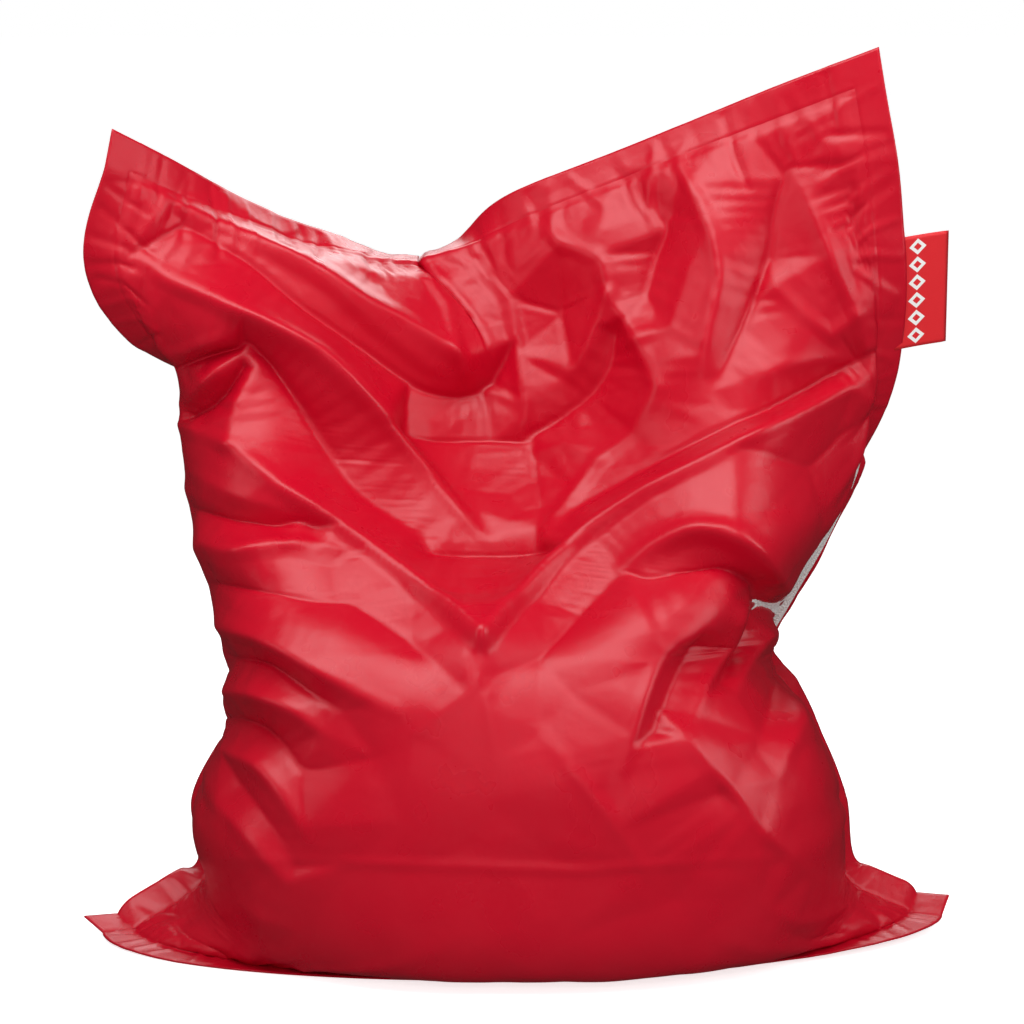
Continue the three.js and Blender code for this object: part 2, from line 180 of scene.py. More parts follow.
def pocketSurface(side, turn, w):
    # the seams and a middle line joined across by (1 - |s|^squareness)^fullness, where
    # s = sin(turn * 90 degrees) is the share of the way from the middle to the seam, and
    # towards the top, where the pocket lies flat, s becomes turn itself
    left, right = spline(pose["leftSeam"], w), spline(pose["rightSeam"], w)
    crown = spline(pose["frontMiddle" if side < 0 else "backMiddle"], w)
    middle, half = (left + right) / 2, (right - left) / 2
    flat = smooth(rounding["flatFrom"], 1.0, w)
    s = np.sin(turn * math.pi / 2) * (1 - flat) + turn * flat
    power = bySide(turn, "leftSquareness", "rightSquareness", w)
    full = spline(pose["fullness"], w)[..., 0]
    share = np.maximum(0, 1 - (np.abs(s) ** 2 + rounding["dip"]) ** (power / 2)) ** full
    across = s + bySide(turn, "leftSwell", "rightSwell", w) * np.sin(math.pi * turn)
    p = middle + half * across[..., None] + (crown - middle) * share[..., None]
    plump = (1 - np.abs(turn) ** rounding["side"]) * (1 - np.abs(2 * w - 1) ** rounding["end"])
    p[..., 1] += side * cloth["plump"] * plump
    if side < 0:
        arm = spline(pose["armSwell"], w)[..., 0] * np.sin(math.pi * np.abs(s) ** rounding["armPower"]) ** 2
        p[..., 1] -= arm
        p[..., 2] += rounding["armRise"] * arm
    else:
        p[..., 1] += (field["depth"] - p[..., 1]) * fieldShare(p)
    return p


def fieldShare(p):
    # 1 on the flat field round the zip, falling to 0 past its edges
    beside = smooth(field["halfX"], field["halfX"] + field["fade"], np.abs(p[..., 0]))
    above = smooth(field["halfZ"], field["halfZ"] + field["fade"], np.abs(p[..., 2] - field["height"]))
    return (1 - beside) * (1 - above)


def alongEnd(turn, w):
    step = 0.02
    low = np.clip(turn - step, -0.99, 0.99 - step)
    return unit(pocketSurface(-1, low + step, w) - pocketSurface(-1, low, w))


def alongSide(turn, w):
    step = 0.01
    left = spline(pose["leftSeam"], w + step) - spline(pose["leftSeam"], w - step)
    right = spline(pose["rightSeam"], w + step) - spline(pose["rightSeam"], w - step)
    return unit(np.where((turn < 0)[..., None], left, right))


def pastSide(turn, w):
    # square to the side seam, turned outwards or back by the pose's flange lean, raised at
    # the fins, and carrying the top seam straight on at the ears
    lean = bySide(turn, "leftLean", "rightLean", w)
    lift = rim["lift"] * smooth(-rim["liftFrom"], rim["liftFrom"], w) * (1 - smooth(*rim["liftTo"], w))
    away = np.stack([np.sign(turn) * np.cos(lean), np.sin(lean), lift], -1)
    along = alongSide(turn, w)
    away = unit(away - along * (away * along).sum(-1, keepdims=True))
    ear = smooth(rim["ear"], 1.0, w)[..., None]
    return unit(away * (1 - ear) + alongEnd(np.sign(turn), w) * np.sign(turn)[..., None] * ear)


def pastEnd(turn, w):
    # square to the bottom seam, level and outwards; past the top seam, the panel carried
    # straight on, leaning back in the middle
    along = alongEnd(turn, w)
    bottom = np.stack([along[..., 1], -along[..., 0], 0 * turn], -1)
    end = np.ones_like(w)
    on = unit(pocketSurface(-1, turn, end) - pocketSurface(-1, turn, end - rim["straight"]))
    leant = (1 - smooth(*rim["leant"], np.abs(turn + rim["straight"])))[..., None]
    top = unit(on * (1 - leant) + np.array([0, 1.0, 0.1]) * leant)
    return unit(np.where((w < 0.5)[..., None], bottom, top))


def clothGrid():
    # places on the flat cloth in millimetres: x from its middle, y from the bottom seam
    edge = np.arange(1, cloth["flangeCells"] + 1) * cloth["flange"] / cloth["flangeCells"]
    halfX = cloth["pocketWidth"] / 2
    x = np.linspace(-halfX, halfX, cloth["across"] + 1)
    y = np.linspace(0, cloth["pocketLength"], cloth["up"] + 1)
    x = np.concatenate([-halfX - edge[::-1], x, halfX + edge])
    y = np.concatenate([-edge[::-1], y, cloth["pocketLength"] + edge])
    return np.meshgrid(x, y)


def loft(side):
    # the smooth panel, flange and all, before its folds, in metres
    x, y = clothGrid()
    turn = np.clip(2 * x / cloth["pocketWidth"], -1, 1)
    w = np.clip(y / cloth["pocketLength"], 0, 1)
    pastX = np.abs(x) - cloth["pocketWidth"] / 2
    pastY = np.maximum(-y, y - cloth["pocketLength"])
    p = pocketSurface(side, turn, w)
    p += pastSide(np.where(turn == 0, 1.0, turn), w) * np.maximum(pastX, 0)[..., None]
    p += pastEnd(turn, w) * np.maximum(pastY, 0)[..., None]
    p[..., 2] = np.maximum(p[..., 2], cloth["floor"])
    return (p + shift) * mm


def normals(p):
    # square to the grid: the cross of its two central differences
    return unit(np.cross(np.gradient(p, axis=1), np.gradient(p, axis=0)))


# Creases of the front panel. Each is a line of (across, up, height) in centimetres on the
# front elevation; between them the cloth is pulled into flat facets.
frontCreases = [
    # the left wing: a round ridge along its top, the long main ridge, and a dark valley under each
    [(-56, 113, 0.5), (-50, 109, 2.6), (-42, 105, 3.6), (-33, 99, 4.6),
     (-25, 94, 5.4), (-17, 90, 6.0), (-9, 86, 6.2), (-7.5, 84, 4.0)],
    [(-49, 106, 0.5), (-40, 100, 1.2), (-31, 93, 0.5), (-22, 87, 0.2),
     (-14, 82, -0.6), (-7, 81, -1.0), (-3, 83, -1.0)],
    [(-57, 102, 0.4), (-51, 98, 2.6), (-45, 95, 4.0), (-38, 91, 5.4), (-30, 86, 6.0),
     (-22, 79, 5.4), (-14, 70, 4.2), (-8, 63, 2.6), (-3, 58.5, 0.4)],
    [(-40, 90, 0.5), (-36, 86, -1.5), (-31, 79, -1.6), (-27, 72, -1.0), (-23, 66, 0.2), (-15, 60, 1.0)],
    # the V of the front lip, down its left side to the apex and up its right
    [(-48, 77, 1.5), (-41, 73, 3.4), (-35, 67, 4.2), (-28, 61.5, 4.6),
     (-21, 55.5, 4.6), (-13, 49.5, 4.4), (-4.5, 43, 4.0)],
    [(-4.5, 43, 4.0), (1, 48.5, 4.4), (6, 53.5, 4.8), (12, 59, 5.2), (20, 65, 5.2),
     (28, 70, 4.6), (36, 75, 4.4), (47, 81, 2.8), (53, 84, 1.0)],
    [(5, 60.5, 1.4), (12, 64.5, 0.8), (21, 70, -0.2), (31, 75.5, -1.2),
     (40, 79.5, -1.6), (49, 85, -0.5), (54, 88, 0)],
    # the seat and the foot of the backrest
    [(-12, 56.5, 0.2), (-4, 57, -0.4), (0, 57, -0.7), (5, 57.3, -0.6)],
    [(5, 59, 1.8), (9, 65, 1.6), (13.5, 71, 1.2), (18, 75, 0.4)],
    [(-16, 75, -1.6), (-10, 74, -1.8), (0, 74.5, -1.6)],
    [(-16, 75, -1.6), (-11, 69, 0.6), (-6, 63, 1.2)],
    # star folds over the backrest and the right wing
    [(26, 119, 0.6), (25, 115, 2.0), (28, 109, 2.6), (30, 104, 2.8),
     (31, 98, 2.6), (29, 89, 2.0), (28, 83, 0.4)],
    [(41, 115, -0.6), (39, 108, -1.6), (38, 101, -1.8), (35, 93, -1.8), (32, 86, -1.2), (28, 77, -0.4)],
    [(24, 108, -0.6), (21.5, 102, -1.6), (20, 96, -0.6)],
    [(15.5, 90, -0.2), (14, 84.5, -1.4), (9, 79, -1.7), (1, 74, -1.6)],
    [(2, 109, 0.8), (4, 106, 2.0), (9, 103, 2.4), (14, 101, 3.0),
     (15, 96, 2.8), (12, 88, 1.8), (8, 83, 0.2)],
    [(-3, 99, 0.8), (0, 95, 1.8), (1, 88, 2.0), (2, 80, 1.4), (1, 74, -1.6)],
    [(15, 96, 2.8), (19, 89, 2.2), (22, 82, 1.8), (18, 75, 0.4)],
    [(27, 100, 1.4), (24, 91, 1.2), (19, 89, 2.2)],
    [(3, 72, -1.0), (8, 73.5, 1.0), (13.5, 71, 1.2)],
    [(44, 110, 0.6), (46, 105, 1.8), (48, 100, 2.6), (51, 93, 2.2), (52.5, 88, 1.0)],
    [(39, 97, 0.2), (43.5, 92.5, 1.6), (47, 90, 1.8), (51, 93, 2.2)],
    [(34.5, 83, -0.6), (41, 85.5, 1.2), (48, 86.5, 0.8)],
    [(49, 117, 0.8), (51, 110, -0.8), (51.5, 102, 0.2)],
    [(-44, 111, 1.6), (-38, 106, 3.0), (-33, 104, 1.0)],
    [(-30, 106, 0.8), (-25, 101, 3.6), (-21, 97, 3.4)],
    [(-19, 104, 1.0), (-14, 99, 3.4), (-10, 93, 4.4), (-9, 86, 6.2)],
    # the left pinch and the cones that spread from it
    [(-40, 90, 0.5), (-44, 89, 2.6), (-50, 87.5, 1.0)],
    [(-41, 88, -1.4), (-46, 86.5, -0.8), (-50, 85, -0.5)],
    [(-40, 87, 0.4), (-44, 84, 2.8), (-48, 80, 1.0)],
    [(-40, 85, -1.2), (-43, 80.5, -1.0), (-47, 77.5, -0.5)],
    [(-38, 85, 0.6), (-40, 80, 2.6), (-41, 73, 3.6)],
    # pockets down the left flank
    [(-48, 70, 0.5), (-41, 66, 1.6), (-33, 63, 1.8), (-30, 61, 1.4)],
    [(-47, 64, -1.0), (-41, 62.5, -1.8), (-35, 61.5, -0.6)],
    [(-45, 59, 1.2), (-40, 57.5, 2.4), (-33, 58, 1.8), (-27, 56, 2.0)],
    [(-44, 53, -0.8), (-38, 52, -1.2), (-30, 50, 0.2), (-24, 49, 1.0)],
    [(-43, 47, 1.2), (-37, 45, 2.4), (-30, 40.5, 2.6), (-23, 36.5, 1.8), (-17, 34, 1.2)],
    [(-41, 42, -0.8), (-36, 41, -1.2), (-30, 37, -0.4), (-25, 34, 0.4)],
    [(-41, 37, 1.4), (-37, 36.5, 2.6), (-32, 34.5, 2.4), (-28, 31, 1.0)],
    [(-42, 33, -1.4), (-38, 32, -2.0), (-34, 29, -1.0), (-31, 25, 0)],
    [(-42, 28, 1.0), (-37, 26, 2.2), (-33, 21, 1.8), (-30, 15, 0.6)],
    [(-43, 20, 0.8), (-38, 15, 1.8), (-33, 9, 1.0)],
    [(-40, 23, -0.4), (-36, 18, 0.2), (-32, 11, 0)],
    # pockets and the pinch down the right flank
    [(17, 54, 1.4), (21, 56.5, 2.6), (26, 59.5, 3.4), (31, 60, 3.6), (36, 57.5, 3.2), (39.5, 53, 1.4)],
    [(20, 53, 0.2), (26, 55, -1.4), (31, 55.5, -1.8), (35, 53.5, -1.4), (38, 50, -1.0)],
    [(44, 50, -1.0), (40, 49, -1.8), (36, 50.5, -1.6)],
    [(36, 50.5, -1.6), (33, 49, 2.2), (31, 44, 2.4), (29, 39, 1.8), (27, 33, 0.6)],
    [(40, 47, 1.4), (36, 46, 2.6), (34, 41, 2.2), (32.5, 36, 0.8)],
    [(35, 48, -0.8), (32.5, 43, -0.4), (30.5, 38, 0)],
    [(32, 51, 0.8), (27, 47, 2.4), (22, 43, 2.8), (19.5, 36, 2.6), (17.5, 29, 1.8), (15, 22, 0.8)],
    [(26, 44, 0.2), (23, 37, 0), (21, 31, 0)],
    [(43, 44, 1.0), (42, 39, 2.0), (42, 32, 1.8), (39, 24, 0.8)],
    [(39, 41, 0), (38, 34, -0.4), (36, 28, 0)],
    # the base
    [(4, 31, 0.4), (9, 25, 1.6), (14, 19, 1.2), (20, 10, 0.4)],
    [(22, 33, 0.6), (27, 28, 1.8), (33, 21, 1.4), (39, 13, 0.6)],
    [(31, 22, 0.2), (38, 15, 1.4), (45, 9, 0.6)],
    [(36, 6, 0.4), (42, 3, 1.4), (49, 5, 1.0)],
    [(28, 1, 0), (36, -1, 1.0), (44, 0, 0.6)],
    [(-20, 27, 0), (-12, 32, 1.0), (-5, 38, 1.6)],
    [(-4, 36, 1.2), (-2, 26, 0.6), (-6, 14, 0)],
    [(-42, 8, 0.4), (-37, 4, 1.2), (-30, 1, 0)],
]


# The sharpest folds, as tents on top: the V of the lip, the back of the seat and the
# folds under the wing. A reach is for the left and the right of the line's run.
crestFolds = [
    {"reach": (9, 1.3), "line": [
        (-38, 70, 0.2), (-28, 61.5, 0.8), (-20, 55, 1.2), (-12, 48.5, 1.5), (-4.5, 42.2, 1.7),
        (1, 47.5, 1.5), (7, 53.5, 1.3), (13, 59, 1.1), (22, 65.5, 0.8), (31, 71, 0.3)]},
    {"reach": (1.6, 3), "line": [
        (-16, 57, -0.2), (-7, 57.2, -0.6), (1, 57.4, -0.6), (9, 57, -0.2)]},
    {"reach": (4, 1.2), "line": [
        (-52, 98, 0.2), (-45, 95, 0.8), (-38, 91, 1.1), (-30, 86, 1.1), (-22, 79, 0.9),
        (-14, 70, 0.4)]},
    {"reach": (4, 1.2), "line": [
        (-48, 107.5, 0.2), (-40, 103.5, 0.8), (-31, 97.5, 1.0), (-22, 90.5, 0.9),
        (-13, 84.5, 0.4)]},
    {"reach": (3, 1.2), "line": [
        (17, 54, 0.3), (22, 57.5, 0.8), (28, 60, 1.0), (34, 58.5, 0.8), (39, 54, 0.2)]},
    {"reach": (3, 1.0), "line": [
        (-41, 57.5, 0.2), (-36, 58.5, 0.8), (-30, 58, 0.8), (-25, 56, 0.2)]},
    {"reach": (3, 1.0), "line": [
        (-41, 47, 0.2), (-34, 43.5, 0.8), (-28, 39.5, 0.8), (-21, 36, 0.2)]},
    {"reach": (1.2, 1.2), "line": [
        (-45, 12.5, 0.1), (-20, 11.5, 0.3), (10, 10.5, 0.3), (44, 13, 0.1)]},
]


def netHeights(places, lines, rng, spacing, rough, clear):
    # a height at every place, straight across each triangle of a net: the net's corners
    # lie along smooth curves through the lines' points and, clear of them, on an uneven
    # grid of filling points of small height
    corners = [np.zeros((0, 3))]
    for line in lines:
        run = sum(math.dist(a[:2], b[:2]) for a, b in zip(line[:-1], line[1:]))
        corners.append(spline(line, np.linspace(0, 1, max(3, round(run / net["step"]) + 1))))
    low, high = places.reshape(-1, 2).min(0) - 2 * spacing, places.reshape(-1, 2).max(0) + 2 * spacing
    across = np.arange(low[0], high[0], spacing)
    up = np.arange(low[1], high[1], spacing * 0.87)
    fill = np.stack(np.meshgrid(across, up), -1)
    fill[1::2, :, 0] += spacing / 2
    fill = (fill + rng.uniform(-0.3, 0.3, fill.shape) * spacing).reshape(-1, 2)
    lift = rng.normal(size=len(fill)) * rough
    drawn = np.vstack(corners)
    if len(drawn):
        near = np.linalg.norm(fill[:, None] - drawn[None, :, :2], axis=-1).min(1)
        fill, lift = fill[near > clear], lift[near > clear]
    corners = np.vstack([drawn, np.column_stack([fill, lift])])
    loose = [mathutils.Vector(corner) for corner in corners[:, :2].tolist()]
    mesh = mathutils.geometry.delaunay_2d_cdt(loose, [], [], 0, 1e-4)
    spots = np.array([tuple(v) for v in mesh[0]])
    level = np.array([np.mean(corners[made, 2]) for made in mesh[3]])
    flat = places.reshape(-1, 2)
    total = np.zeros(len(flat))
    for face in mesh[2]:
        a, b, c = spots[list(face)]
        box = np.flatnonzero(
            (flat[:, 0] >= min(a[0], b[0], c[0])) & (flat[:, 0] <= max(a[0], b[0], c[0]))
            & (flat[:, 1] >= min(a[1], b[1], c[1])) & (flat[:, 1] <= max(a[1], b[1], c[1])))
        if not len(box):
            continue
        basis = np.linalg.inv(np.stack([b - a, c - a], 1))
        share = (flat[box] - a) @ basis.T
        inside = (share.min(1) >= -1e-9) & (share.sum(1) <= 1 + 1e-9)
        ha, hb, hc = level[list(face)]
        total[box[inside]] = (ha + share @ np.array([hb - ha, hc - ha]))[inside]
    return total.reshape(places.shape[:-1]) * 10 * mm


tentShape = {"power": 1.3, "round": 0.04}


def foldHeights(places, lines):
    # a tent over each line: its height at the nearest point times (1 - distance / reach)^power,
    # with the reach of whichever side the place lies on, so crests are sharp and feet soft
    total = np.zeros(places.shape[:-1])
    for fold in lines:
        line = np.array(fold["line"], float)
        nearest = np.full(total.shape, 1e9)
        tent = np.zeros(total.shape)
        for a, b in zip(line[:-1], line[1:]):
            run = b[:2] - a[:2]
            away = places - a[:2]
            t = np.clip(away @ run / (run @ run), 0, 1)
            off = away - t[..., None] * run
            distance = np.sqrt((off**2).sum(-1) + tentShape["round"])
            left = run[0] * away[..., 1] - run[1] * away[..., 0] > 0
            reach = np.where(left, fold["reach"][0], fold["reach"][1])
            here = (a[2] + (b[2] - a[2]) * t) * np.maximum(0, 1 - distance / reach) ** tentShape["power"]
            nearer = distance < nearest
            tent = np.where(nearer, here, tent)
            nearest = np.minimum(nearest, distance)
        total += tent
    return total * 10 * mm


# Smaller folds are drawn at random on the flat cloth, in centimetres from the middle of
# the bottom seam: fans that spread from the pinches, and puckers along the stitching.
fans = {
    "front": [(-64, 42), (-64, 60), (-64, 104), (64, 70), (64, 118), (64, 34), (-30, 0), (46, 0)],
    "back": [
        (-64, 50), (-64, 84), (-64, 112), (64, 46), (64, 76), (64, 108),
        (-20, 169), (18, 169), (-50, 8), (52, 6)],
    "rays": 7,
    "spread": 1.1,  # radians either way of square to the seam
    "length": (14, 38),
    "height": (0.5, 1.5),
    "reach": (2.2, 4.6),
}
puckers = {"spacing": 4.2, "length": (4, 13), "height": (0.22, 0.62), "reach": (0.9, 1.8)}


def fanFolds(rng, places):
    # rays from each place, rising to their height a third of the way along, with one bend
    found = []
    for x, y in places:
        inward = math.atan2(85 - y, -x) if 0 < y < 169 else math.copysign(math.pi / 2, 84 - y)
        for ray in range(fans["rays"]):
            turn = inward + fans["spread"] * ((2 * ray + 1) / fans["rays"] - 1) + rng.normal() * 0.1
            length = rng.uniform(*fans["length"])
            height = rng.uniform(*fans["height"]) * (1 if ray % 2 else -0.8)
            bent = turn + rng.normal() * 0.35
            near = (x + math.cos(turn) * length * 0.35, y + math.sin(turn) * length * 0.35)
            far = (near[0] + math.cos(bent) * length * 0.65, near[1] + math.sin(bent) * length * 0.65)
            reach = tuple(rng.uniform(*fans["reach"], 2))
            found.append({"line": [(x, y, 0), (*near, height), (*far, 0)], "reach": reach})
    return found


def puckerFolds(rng):
    # short ridges from the stitch line inwards, at uneven steps all the way round
    width, length = cloth["pocketWidth"] / 10, cloth["pocketLength"] / 10
    around = 2 * (width + length)
    found = []
    at = 0
    while at < around:
        at += puckers["spacing"] * rng.uniform(0.5, 1.5)
        s = at % around
        if s < width:
            x, y, inward = s - width / 2, 0, math.pi / 2
        elif s < width + length:
            x, y, inward = width / 2, s - width, math.pi
        elif s < 2 * width + length:
            x, y, inward = width * 1.5 + length - s, length, -math.pi / 2
        else:
            x, y, inward = -width / 2, around - s, 0
        turn = inward + rng.normal() * 0.35
        reach = rng.uniform(*puckers["length"])
        height = rng.uniform(*puckers["height"]) * rng.choice([-1, 1])
        near = (x + math.cos(turn) * reach * 0.2, y + math.sin(turn) * reach * 0.2)
        far = (x + math.cos(turn) * reach, y + math.sin(turn) * reach)
        outer = (x - math.cos(turn) * 4, y - math.sin(turn) * 4)
        line = [(*outer, height * 0.9), (*near, height), (*far, 0)]
        found.append({"line": line, "reach": tuple(rng.uniform(*puckers["reach"], 2))})
    return found


# How the cloth is relaxed. Growth is how much longer the cloth is than the shape it is
# laid on, which is what buckles it into small wrinkles.
relaxing = {
    "rounds": {4: 160, 2: 160, 1: 120},  # rounds at every fourth, second and single grid line
    "stretch": 0.9,
    "shear": 0.5,
    "momentum": 0.6,
    "hold": 0.010,  # pull back towards the laid shape, each round
    "even": 0.07,  # share of the unevenness taken out, each round
    "pressure": 0.05,  # millimetres outwards, each round
    "seed": 7,
    "firstNoise": 3.6,  # millimetres of random wave at the start, and at each finer grid
    "nextNoise": 0.15,
}


def paddedBlur(values, rounds):
    # each value becomes the mean of itself, twice, and its four neighbours, again and again
    for _ in range(rounds):
        p = np.pad(values, [(0, 0), (1, 1), (1, 1)] + [(0, 0)] * (values.ndim - 3), mode="edge")
        beside = p[:, :-2, 1:-1] + p[:, 2:, 1:-1] + p[:, 1:-1, :-2] + p[:, 1:-1, 2:]
        values = (p[:, 1:-1, 1:-1] * 2 + beside) / 6
    return values


def clothLinks(shape, growAcross, growUp):
    # pairs of neighbouring points as array slices, sorted so that no point is in two pairs
    # of one set: across, up, and both diagonals, with the length each pair should have
    sets = []
    rows, columns = shape.shape[1:3]
    for down, over, stiffness in ((0, 1, "stretch"), (1, 0, "stretch"), (1, 1, "shear"), (1, -1, "shear")):
        for start in (0, 1):
            if down:
                a = (slice(None), slice(start, rows - 1, 2), slice(max(0, -over), columns - max(0, over)))
                b = (slice(None), slice(start + 1, rows, 2), slice(max(0, over), columns - max(0, -over)))
            else:
                a = (slice(None), slice(None), slice(start, columns - 1, 2))
                b = (slice(None), slice(None), slice(start + 1, columns, 2))
            length = np.linalg.norm(shape[b] - shape[a], axis=-1)
            grow = growUp[a] if down else growAcross[a]
            if down and over:
                grow = (growUp[a] + growAcross[a]) / 2
            sets.append((a, b, (length * (1 + grow)).astype(np.float32), relaxing[stiffness]))
    return sets


def doubled(values):
    # the same field on a grid with twice the lines, straight in between
    panels, rows, columns, axes = values.shape
    out = np.zeros((panels, rows * 2 - 1, columns * 2 - 1, axes), np.float32)
    out[:, ::2, ::2] = values
    out[:, 1::2, ::2] = (values[:, 1:] + values[:, :-1]) / 2
    out[:, :, 1::2] = (out[:, :, 2::2] + out[:, :, :-1:2]) / 2
    return out


def relaxCloth(front, back, growAcross, growUp, hold, joined):
    # the two panels as one sheet pair, let go from coarse to fine: lengths are put right
    # pair by pair, and the points drift back towards the laid shape and away from the floor
    laid = np.stack([front, back]).astype(np.float32)
    rng = np.random.default_rng(relaxing["seed"])
    moved = None
    for step, rounds in relaxing["rounds"].items():
        shape = laid[:, ::step, ::step].copy()
        thin = (slice(None), slice(None, None, step), slice(None, None, step))
        links = clothLinks(shape, growAcross[thin], growUp[thin])
        keep = hold[thin][..., None].astype(np.float32)
        sewn = joined[::step, ::step]
        outward = np.stack([normals(shape[0]), -normals(shape[1])]).astype(np.float32)
        if moved is None:
            wave = paddedBlur(rng.normal(size=shape.shape[:3]), 2)[..., None]
            moved = outward * (wave * relaxing["firstNoise"] * mm).astype(np.float32)
        else:
            moved = doubled(moved)
            wave = rng.normal(size=shape.shape[:3])[..., None]
            moved += outward * (wave * relaxing["nextNoise"] * mm).astype(np.float32)
        points = shape + moved
        before = points.copy()
        for round in range(rounds):
            speed = (points - before) * relaxing["momentum"]
            before = points.copy()
            points += speed + outward * (relaxing["pressure"] * mm)
            away = points - shape
            away += (paddedBlur(away, 1) - away) * relaxing["even"]
            points = shape + away * (1 - keep)
            for a, b, length, stiffness in links:
                gap = points[b] - points[a]
                reach = np.sqrt(np.einsum("...k,...k->...", gap, gap)) + 1e-9
                gap *= ((1 - length / reach) * (stiffness / 2))[..., None]
                points[a] += gap
                points[b] -= gap
            middle = (points[0] + points[1])[sewn] / 2
            between = (shape[1] - shape[0])[sewn] / 2
            points[0][sewn] = middle - between
            points[1][sewn] = middle + between
            np.maximum(points[..., 2], cloth["floor"] * mm, out=points[..., 2])
        moved = points - shape
    return points[0].astype(float), points[1].astype(float)


# The nets of facets, in centimetres: how far apart their corners are and how high
net = {
    "step": 2.0,  # along a crease
    "wide": 10,
    "wideRough": 0.15,
    "backRough": 0.6,
    "clear": 5.5,  # between a crease and the filling points
    "fine": 4.5,
    "fineRough": 0.08,
    "lowest": -1.8,
    "crest": 0.24,  # a keener crest on each crease, as a share of its height
    "crestReach": (1.7, 1.7),
    "highest": 2.5,
    "towards": 1.4,  # how much more a crease is pushed towards the viewer than outwards
    "turned": (-0.05, 0.3),  # creases fade out where the cloth turns away
    "fans": 0.5,
    "seamShare": 0.45,
}
calm = {"at": (-6, 20), "size": (20, 16), "share": 0.8}  # the smooth middle of the base
edges = {"seam": 70, "tight": 130}  # millimetres from the seam over which it is felt
# How much longer the cloth is than its shape: over the pocket, and near its seams
growth = {"front": (0.006, 0.008), "back": (0.008, 0.010), "seam": (0.02, 0.03), "flange": 0.15}


def frontFolds(seenAt, facing, rng):
    # the front's own creases: a net of facets through them, with a keener tent on each
    named = netHeights(seenAt, frontCreases, rng, net["wide"], net["wideRough"], net["clear"])
    named = np.maximum(named, net["lowest"] * 10 * mm) + foldHeights(seenAt, crestFolds)
    named = paddedBlur(named[None], 1)[0]
    keen = []
    for line in frontCreases:
        points = [(x, y, net["crest"] * min(max(height, 0), net["highest"])) for x, y, height in line]
        keen.append({"line": points, "reach": net["crestReach"]})
    named += foldHeights(seenAt, keen)
    return named * smooth(*net["turned"], facing)


def makeCloth():
    # both panels' smooth shapes, then their folds, then the relaxing
    front, back = loft(-1), loft(1)
    outFront, outBack = normals(front), -normals(back)
    x, y = clothGrid()
    inward = np.minimum(cloth["pocketWidth"] / 2 - np.abs(x), np.minimum(y, cloth["pocketLength"] - y))
    facing = outFront @ viewBack
    flat = np.stack([x, y], -1) / 10
    rng = np.random.default_rng(relaxing["seed"])
    seenAt = onElevation(front)
    named = frontFolds(seenAt, facing, rng)
    away = (seenAt - calm["at"]) / calm["size"]
    lively = 1 - calm["share"] * np.exp(-(away**2).sum(-1))
    drawnFront = netHeights(flat, [], rng, net["fine"], net["fineRough"], 0) * lively
    frontFans = foldHeights(flat, fanFolds(rng, fans["front"])) * net["fans"]
    drawnFront += frontFans + foldHeights(flat, puckerFolds(rng))
    drawnBack = netHeights(flat, [], rng, net["wide"], net["backRough"], 0)
    drawnBack += netHeights(flat, [], rng, net["fine"], net["fineRough"], 0)
    drawnBack += foldHeights(flat, fanFolds(rng, fans["back"])) + foldHeights(flat, puckerFolds(rng))
    toSeam = 1 - smooth(0, edges["seam"], inward)
    push = unit(outFront + net["towards"] * viewBack * np.maximum(facing, 0)[..., None]) * named[..., None]
    push += outFront * drawnFront[..., None]
    push *= (1 - (1 - net["seamShare"]) * toSeam)[..., None]
    front += push
    back += push * toSeam[..., None]
    back += outBack * (drawnBack * (1 - toSeam) * (1 - fieldShare(back / mm - shift)))[..., None]
    joined = inward < 1
    onFlange = (inward < -5)[..., None]
    apart = unit(np.where(onFlange, normals((front + back) / 2), outBack)) * cloth["plyGap"] * mm / 2
    seam = (front + back) / 2
    front[joined] = (seam - apart)[joined]
    back[joined] = (seam + apart)[joined]
    flatField = fieldShare(back / mm - shift)
    edge = 1 - smooth(0, edges["tight"], inward)
    within = growth["flange"] + (1 - growth["flange"]) * smooth(-12, 2, inward)
    grown = []
    for frontRate, backRate, seamRate in zip(growth["front"], growth["back"], growth["seam"]):
        rates = np.stack([frontRate * lively + seamRate * edge, backRate + seamRate * edge]) * within
        rates[1] *= 1 - flatField
        grown.append(rates)
    hold = np.stack([0 * x, flatField]) * (1 - relaxing["hold"]) + relaxing["hold"]
    started = time.time()
    front, back = relaxCloth(front, back, *grown, hold, joined)
    print("cloth relaxed in", round(time.time() - started, 1), "s")
    return front, back


def meshObject(name, points, faces, uv=None):
    mesh = bpy.data.meshes.new(name)
    mesh.from_pydata(np.asarray(points).tolist(), [], np.asarray(faces).tolist())
    if uv is not None:
        layer = mesh.uv_layers.new(name="cloth")
        corners = np.zeros(len(mesh.loops), np.int32)
        mesh.loops.foreach_get("vertex_index", corners)
        layer.data.foreach_set("uv", np.asarray(uv)[corners].ravel())
    mesh.shade_smooth()
    mesh.update()
    piece = bpy.data.objects.new(name, mesh)
    bpy.context.scene.collection.objects.link(piece)
    return piece


def gridFaces(rows, columns, flip=False):
    corner = (np.arange(rows - 1)[:, None] * columns + np.arange(columns - 1)).ravel()
    order = (0, columns, columns + 1, 1) if flip else (0, 1, columns + 1, columns)
    return np.stack([corner + k for k in order], -1)


def clothPanel(name, points, flip):
    x, y = clothGrid()
    uv = np.stack([x, y], -1).reshape(-1, 2) * mm
    return meshObject(name, points.reshape(-1, 3), gridFaces(*points.shape[:2], flip), uv)


def thicken(piece, thickness):
    shell = piece.modifiers.new("thickness", "SOLIDIFY")
    shell.thickness = thickness
    shell.offset = 0
    shell.use_rim = True


